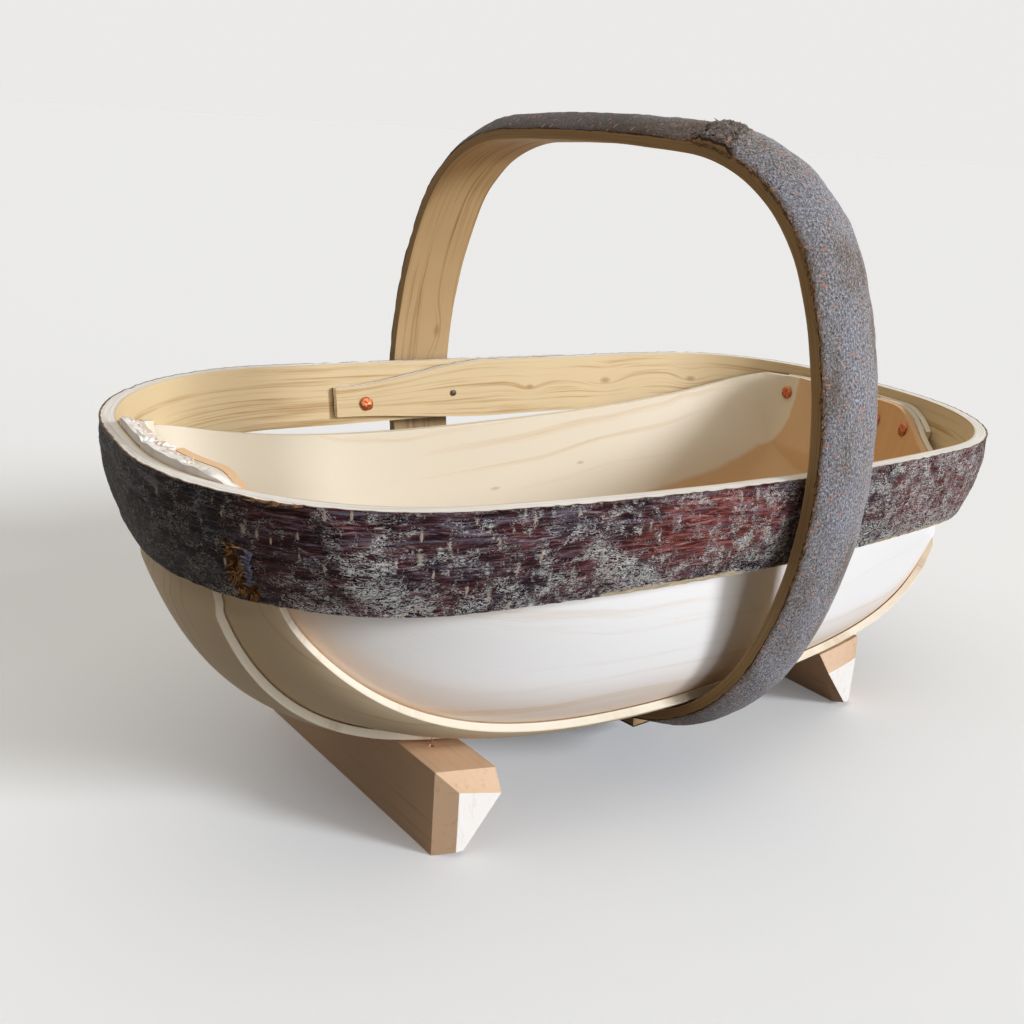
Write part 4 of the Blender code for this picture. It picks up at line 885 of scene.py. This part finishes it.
centre_line = edge_line(0.272, 0.54, 0.54)
second_low = edge_line(0.205, 0.035, 0.035)
second_high = edge_line(0.535, 0.83, 0.83)
side_front_low = edge_line(0.480, 0.24, 0.05)
side_back_low = edge_line(0.480, 0.24, -0.05)


def layer_height(along, share, layer):
    """Height of a board's outer face above the hull: a step for each board under it, fading out."""
    size = np.abs(share)
    over_centre = LAYER * (1 - ease(size, centre_line(along) + 0.01, second_high(along)))
    over_second = LAYER * (1 - ease(size, second_high(along) + 0.01, 1.02))
    return over_centre * min(layer, 1) + over_second * max(layer - 1, 0)


def make_willow(name, pale, tan, heart_and_shade_colour, heart_and_shade_lines, specks, turned):
    """Shaved willow: almost white and silky, with faint tan growth lines and tiny pin knots. Past a
    line drawn on the board, its inner face takes a darker tone: pinkish heartwood on the back board,
    and painted shade of the right end on the front board. The line is given as (along, girth) pairs.
    Where a board is marked, a tan glow low on it is painted shade too."""
    wood, tree, shader = material(name)
    grain = add(tree, "UVMap", uv_map="grain")
    inside, painted_warm_shade = (add(tree, "Attribute", attribute_name=label, out=2) for label in ("inside", "painted_warm_shade"))

    # Growth lines 9 mm apart across the board, swaying, with fibre of 0.6 mm, and shifted so that
    # no two boards are alike.
    moved = add(tree, "Mapping", {0: grain, 1: (turned, turned * 0.37, 0)})
    sway = add(tree, "Math", {0: streaks(tree, moved, (6, 9), 2.0), 1: 0.05}, operation="MULTIPLY")
    sway = add(tree, "CombineXYZ", {1: sway})
    bent = add(tree, "VectorMath", {0: moved, 1: sway}, operation="ADD")
    line = streaks(tree, bent, (2.4, 110), 4.0, 0.5, 0.2)
    fibre = streaks(tree, bent, (55, 1700), 3.0, 0.6)
    mixed = add(tree, "Math", {0: fibre, 1: 0.18, 2: line}, operation="MULTIPLY_ADD")
    base = add(tree, "ValToRGB", {0: mixed}, stops=((0.50, pale), (0.66, pale), (0.86, tan)))

    # The darker tone of the inner face: heartwood on the back board, and painted shade at the right end
    # of the front one. It lies where a point's girth is less than the line's at its distance along the
    # board.
    if heart_and_shade_lines:
        longest, widest = 0.3, 0.2
        split = add(tree, "SeparateXYZ", {0: grain})
        split = add(tree, "Math", {0: split, 1: longest}, operation="DIVIDE")
        girth = add(tree, "SeparateXYZ", {0: grain}, out=1)
        girth = add(tree, "Math", {0: girth, 1: widest}, operation="DIVIDE")
        edge = add(tree, "ValToRGB", {0: split}, stops=tuple(
            (along / longest, across / widest) for along, across in heart_and_shade_lines))
        below = add(tree, "Math", {0: edge, 1: girth}, operation="SUBTRACT")
        below = add(tree, "Math", {0: streaks(tree, grain, (20, 60), 3.0), 1: 0.03, 2: below},
                    operation="MULTIPLY_ADD")
        tone = add(tree, "ValToRGB", {0: below}, stops=((0.010, 0.0), (0.028, 1.0)))
        tone = add(tree, "Math", {0: tone, 1: inside}, operation="MULTIPLY")
        band = add(tree, "ValToRGB", {0: streaks(tree, grain, (3, 150), 3.0, 0.5, 0.2)},
                   stops=((0.35, heart_and_shade_colour), (0.60, heart_and_shade_colour), (0.72, tan)))
        base = add(tree, "Mix", {0: tone, 6: base, 7: band}, out=2, data_type="RGBA")

    for along, across in specks:
        away = add(tree, "VectorMath", {0: grain, 1: (along, across, 0)}, operation="SUBTRACT")
        away = add(tree, "VectorMath", {0: away, 1: (0.6, 1, 0)}, operation="MULTIPLY")
        away = add(tree, "VectorMath", {0: away}, out=1, operation="LENGTH")
        away = add(tree, "Math", {0: away, 1: 100.0}, operation="MULTIPLY")
        knot = add(tree, "ValToRGB", {0: away}, stops=((0.04, 0.5), (0.14, 0.0)))
        base = add(tree, "Mix", {0: knot, 6: base, 7: srgb("#b98f62")}, out=2, data_type="RGBA")

    # Painted shade: a tan glow low on the front board, where it turns under, away from the window.
    glow = add(tree, "ValToRGB", {0: mixed}, stops=((0.35, 0.75), (0.75, 1.0)))
    glow = add(tree, "Math", {0: painted_warm_shade, 1: glow}, operation="MULTIPLY")
    base = add(tree, "Mix", {0: glow, 6: base, 7: srgb("#dfae78")}, out=2, data_type="RGBA")
    tree.links.new(base, shader.inputs["Base Color"])

    shader.inputs["Roughness"].default_value = 0.55
    shader.inputs["Specular IOR Level"].default_value = 0.2
    height = add(tree, "Math", {0: line, 1: 0.3, 2: fibre}, operation="MULTIPLY_ADD")
    bump = add(tree, "Bump", {"Height": height, "Strength": 0.22, "Distance": 0.0003})
    tree.links.new(bump, shader.inputs["Normal"])
    return wood


BOARD_LENGTH, BOARD_GIRTH = 0.29, 0.19


def board(name, lower, upper, side, layer, paint, edge_paint, painted_warm_shade=0.0):
    """A thin board of even thickness between two edge lines, following the hull. Its section runs up
    the outer face and down the inner one, or the other way round at the front."""
    rows = 41

    def section(outer, inner):
        """Values round the section, from those of its outer and inner face between the edges."""
        values = np.concatenate([outer, inner[:, ::-1]], 1)
        return values[:, ::-1] if side < 0 else values

    along = np.linspace(-1, 1, 221)
    along = (np.sign(along) * np.abs(along) ** 0.8)[:, None]
    across = np.linspace(0, 1, rows)[None, :]
    share = (lower(along) + (upper(along) - lower(along)) * across) * side
    height = layer_height(along, share, layer)
    rings = section(shell(along, share, height), shell(along, share, height + BOARD))
    girth = section(np.abs(share) * BOARD_GIRTH, np.abs(share) * BOARD_GIRTH)
    girth = np.concatenate([girth, girth[:, :1]], 1)
    inside = section(np.zeros((1, rows)), np.ones((1, rows)))

    # Painted shade, tan: just above the edge of the board below, where the board turns under. It is
    # strongest at the ends and widest at the right one.
    above = (np.abs(share) - second_high(along)) / (1.001 - second_high(along))
    tan = 1 - ease(above / (0.45 + 0.5 * ease(along, 0.3, 0.8)), 0, 1)
    tan = tan * (0.55 + 0.35 * (1 - ease(along, -0.85, -0.3)) + 0.5 * ease(along, 0.2, 0.6)) * painted_warm_shade

    strips = np.zeros(2 * rows, int)
    strips[[rows - 1, 2 * rows - 1]] = 1
    item = strap(name, rings[::-1], strips, (along[:, 0] * BOARD_LENGTH)[::-1], girth[::-1],
                 {"inside": inside, "painted_warm_shade": section(tan, tan)[::-1]}, [paint, edge_paint])
    bevel = item.modifiers.new("eased_edges", "BEVEL")
    bevel.width = 0.0003
    bevel.segments = 1
    bevel.limit_method = "ANGLE"
    bevel.angle_limit = np.radians(50)
    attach(item, "root")
    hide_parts(name)


cut_edge = make_willow("willow_cut_edge", "#eadfc9", "#bd9f78", "", (), (), 0.9)
# Its brown inner face at the right end is painted shade of the end wall.
willow_front = make_willow("willow_side_front", "#f7f4ef", "#e6d7c2", "#b98a54", (
    (0.0, 0.0), (0.19, 0.0), (0.225, 0.2)), ((-0.091, 0.106),), 0.0)
willow_back = make_willow("willow_side_back", "#e6dac3", "#d6bb92", "#dcb88c", (
    (0.0, 0.02), (0.060, 0.115), (0.079, 0.132), (0.114, 0.1355), (0.146, 0.1395), (0.186, 0.142),
    (0.25, 0.128)), ((0.0087, 0.1484), (0.0453, 0.1563)), 0.25)
willow_cream = make_willow("willow_cream", "#d8c3a0", "#b6966b", "", (), (), 0.4)
board("centre_board", lambda along: -centre_line(along), centre_line, 1, 0, willow_cream, cut_edge)
board("second_board_front", second_low, second_high, -1, 1, willow_cream, cut_edge)
board("second_board_back", second_low, second_high, 1, 1, willow_cream, cut_edge)
board("side_board_front", side_front_low, np.ones_like, -1, 2, willow_front, cut_edge, 0.95)
board("side_board_back", side_back_low, np.ones_like, 1, 2, willow_back, cut_edge)

# The tan streaks on the torn ends are painted shade between the splinters.
torn_willow = make_willow("willow_torn_end", "#f4eee6", "#cfae96", "", (), (), 0.6)


def torn_slab(name, first, last, wide, thick, lift, seed):
    """A splintered slab of board end between two shares of the girth: it lies along the rim's inner
    face, slopes down inwards, and thins to ragged tips."""
    rows, columns = 70, 12
    share = np.linspace(first, last, rows)
    end, _ = board_end(share, False)
    _, inward = nearest_on_rim(end[:, :2])
    t = np.linspace(0, 1, columns)[None, :]
    run = np.linspace(0, 1, rows)[:, None]
    tip = (ease(run, 0, 0.10) * (1 - ease(run, 0.86, 1))) ** 0.6
    reach = wide * tip * (0.82 + 0.18 * waves(run * 0.03, 0 * run, (0.006, 1), seed)) + 0.0004
    outward = np.concatenate([inward, 0 * inward[:, :1]], 1)[:, None]
    over = end[:, None] + outward * (t * reach)[..., None]
    ridge = waves(run * 0.03, t * wide, (0.020, 0.0016), seed + 1) * 0.0006
    upper = lift * tip - 0.0026 * t ** 1.5 + ridge
    under = upper - thick * tip - 0.0003
    top, bottom = over.copy(), over.copy()
    top[..., 2] += upper
    bottom[..., 2] += under
    rings = np.concatenate([top, bottom[:, ::-1]], 1)
    across = np.concatenate([t[0] * wide, t[0, ::-1] * wide, [0]])[None, :]
    item = strap(name, rings, np.zeros(2 * columns, int), np.linspace(0, 0.03, rows), across,
                 {"inside": 0}, [torn_willow])
    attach(item, "root")


torn_slab("torn_end_back", 0.30, -0.14, 0.0085, 0.0030, 0.0018, 61)
torn_slab("torn_end_middle", -0.10, -0.50, 0.0120, 0.0034, 0.0014, 64)
torn_slab("torn_end_front", -0.44, -0.80, 0.0100, 0.0030, 0.0009, 67)

# ---------------------------------------------------------------------------------------------
# The two feet: wedges split from a willow pole and shaved, hollowed on top to fit the boards and
# tacked through them from inside. Their ends are sawn and chamfered with a knife.
# ---------------------------------------------------------------------------------------------
def make_foot_wood(name, pale, tan, per_metre, roughness):
    """Willow block: tan and lined along its shaved sides, white and finely ringed where it is sawn."""
    wood, tree, shader = material(name)
    line = streaks(tree, add(tree, "TexCoord", out=3), per_metre, 5.0, 0.6)
    base = add(tree, "ValToRGB", {0: line}, stops=((0.35, pale), (0.55, pale), (0.75, tan)))
    tree.links.new(base, shader.inputs["Base Color"])
    shader.inputs["Roughness"].default_value = roughness
    bump = add(tree, "Bump", {"Height": line, "Strength": 0.3, "Distance": 0.0003})
    tree.links.new(bump, shader.inputs["Normal"])
    return wood


shaved = make_foot_wood("willow_foot_shaved", "#d8b38e", "#c49b76", (380, 14, 380), 0.55)
sawn = make_foot_wood("willow_foot_sawn", "#f3ede4", "#e6dac8", (900, 900, 160), 0.8)
SAWN_FACING = 0.95
for name in ("foot_left", "foot_right"):
    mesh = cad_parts[name].data.copy()
    shape = bmesh.new()
    shape.from_mesh(mesh)
    bmesh.ops.remove_doubles(shape, verts=shape.verts, dist=0.00002)
    bmesh.ops.dissolve_limit(shape, angle_limit=np.radians(1.0), verts=shape.verts, edges=shape.edges)
    shape.to_mesh(mesh)
    mesh.materials.clear()
    mesh.materials.append(shaved)
    mesh.materials.append(sawn)
    facing = np.zeros(len(mesh.polygons) * 3)
    mesh.polygons.foreach_get("normal", facing)
    mesh.polygons.foreach_set("material_index", (np.abs(facing[1::3]) > SAWN_FACING).astype(np.int32))
    foot = bpy.data.objects.new("willow_" + name, mesh)
    bpy.context.scene.collection.objects.link(foot)
    bevel = foot.modifiers.new("knife_chamfer", "BEVEL")
    bevel.width = 0.0005
    bevel.segments = 2
    bevel.limit_method = "ANGLE"
    bevel.angle_limit = np.radians(30)
    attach(foot, "root")
    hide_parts(name)

# ---------------------------------------------------------------------------------------------
# The tacks: flat-headed copper, their heads nearly 8 mm across, hammered home through the boards
# and gone dull and brown. Two thin iron pins hold the handle to the rim.
# ---------------------------------------------------------------------------------------------
def make_copper():
    """Dull hammered copper, orange where it was struck and brown in the hollows."""
    metal, tree, shader = material("copper_tack")
    place = add(tree, "TexCoord", out=3)
    spots = add(tree, "TexNoise", {0: place, 2: 700.0, 3: 4.0})
    base = add(tree, "ValToRGB", {0: spots}, stops=((0.35, "#84462a"), (0.60, "#bf6c42")))
    tree.links.new(base, shader.inputs["Base Color"])
    shader.inputs["Metallic"].default_value = 0.85
    shader.inputs["Roughness"].default_value = 0.42
    bump = add(tree, "Bump", {"Height": spots, "Strength": 0.4, "Distance": 0.0004})
    tree.links.new(bump, shader.inputs["Normal"])
    return metal


def make_iron():
    """Dark drawn wire of the pins that hold the handle."""
    metal, _, shader = material("iron_pin")
    shader.inputs["Base Color"].default_value = srgb("#4a4038")
    shader.inputs["Metallic"].default_value = 0.9
    shader.inputs["Roughness"].default_value = 0.5
    return metal


def driven(name, nodes, profile, paint, seed):
    """Tacks or pins in the places of CAD nodes: a profile of (height share of the head, radius share)
    turned round each node's own axis, with the head struck slightly out of round."""
    chance = np.random.default_rng(seed)
    sides = 20
    angle = np.linspace(0, 2 * np.pi, sides, endpoint=False)
    height_share, radius_share = np.array(profile).T[..., None]
    points, faces = [], []
    for node in nodes:
        # The node's own axis, from its tip to its head, and the heights of its tip, seat and top.
        corners = np.zeros(len(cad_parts[node].data.vertices) * 3)
        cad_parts[node].data.vertices.foreach_get("co", corners)
        corners = np.unique(np.round(corners.reshape(-1, 3), 6), axis=0)
        middle = corners.mean(0)
        axis = np.linalg.svd(corners - middle)[2][0]
        height = (corners - middle) @ axis
        radius = np.linalg.norm(corners - middle - height[:, None] * axis, axis=1)
        if radius[height > 0].max() < radius[height < 0].max():
            axis, height = -axis, -height
        top, head = height.max(), radius.max()
        seat = height[radius > head * 0.9].min()

        # The profile turned round it: out of round by a few percent and uneven on top.
        aside = np.cross(axis, [0.3, 0.5, 0.8])
        aside = aside / np.linalg.norm(aside)
        up = np.where(height_share >= 0, seat + height_share * (top - seat),
                      seat + height_share * (seat - height.min()))
        dent = (1 + 0.05 * np.cos(angle * 2 + chance.uniform(0, 6))
                + 0.03 * np.cos(angle * 5 + chance.uniform(0, 6)))
        wide = radius_share * head * np.where(radius_share > 0.4, dent / dent.max(), 1)
        uneven = (0.10 * (top - seat) * (np.cos(angle * 3 + chance.uniform(0, 6)) - 1)
                  * (height_share > 0.5))
        spoke = np.cos(angle)[:, None] * aside + np.sin(angle)[:, None] * np.cross(axis, aside)
        ring = middle + (up + uneven)[..., None] * axis + wide[..., None] * spoke
        start = len(points) * len(profile) * sides
        i, j = np.meshgrid(np.arange(len(profile) - 1), np.arange(sides), indexing="ij")
        k = (j + 1) % sides
        quads = np.stack([i * sides + j, i * sides + k, (i + 1) * sides + k, (i + 1) * sides + j], -1)
        faces += (quads.reshape(-1, 4) + start).tolist()
        tip, crown = np.arange(sides) + start, np.arange(sides) + start + (len(profile) - 1) * sides
        faces += [tip[::-1].tolist(), crown.tolist()]
        points.append(ring.reshape(-1, 3))
    mesh = bpy.data.meshes.new(name)
    mesh.from_pydata(np.concatenate(points), [], faces)
    mesh.materials.append(paint)
    mesh.shade_smooth()
    mesh.set_sharp_from_angle(angle=np.radians(50))
    item = bpy.data.objects.new(name, mesh)
    bpy.context.scene.collection.objects.link(item)
    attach(item, "root")
    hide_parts(*nodes)
    return item


# Profiles from the tip to the top of the head: height, -1 at the tip, 0 under the head and 1 on top,
# and radius as a share of the head's.
tack_shape = [(-1, 0.03), (-0.9, 0.07), (-0.02, 0.07), (0.0, 0.25), (0.0, 0.95), (0.18, 1.0),
              (0.45, 0.96), (0.72, 0.80), (0.90, 0.55), (0.98, 0.28), (1.0, 0.08)]
pin_shape = [(-1, 0.1), (-0.9, 0.45), (-0.02, 0.45), (0.0, 0.9), (0.4, 1.0), (0.8, 0.75), (1.0, 0.3)]
copper, iron = make_copper(), make_iron()
tacks = driven("copper_tacks", [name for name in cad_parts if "tack" in name], tack_shape,
               copper, 71)
pins = driven("iron_pins", [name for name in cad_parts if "pin" in name], pin_shape, iron, 72)
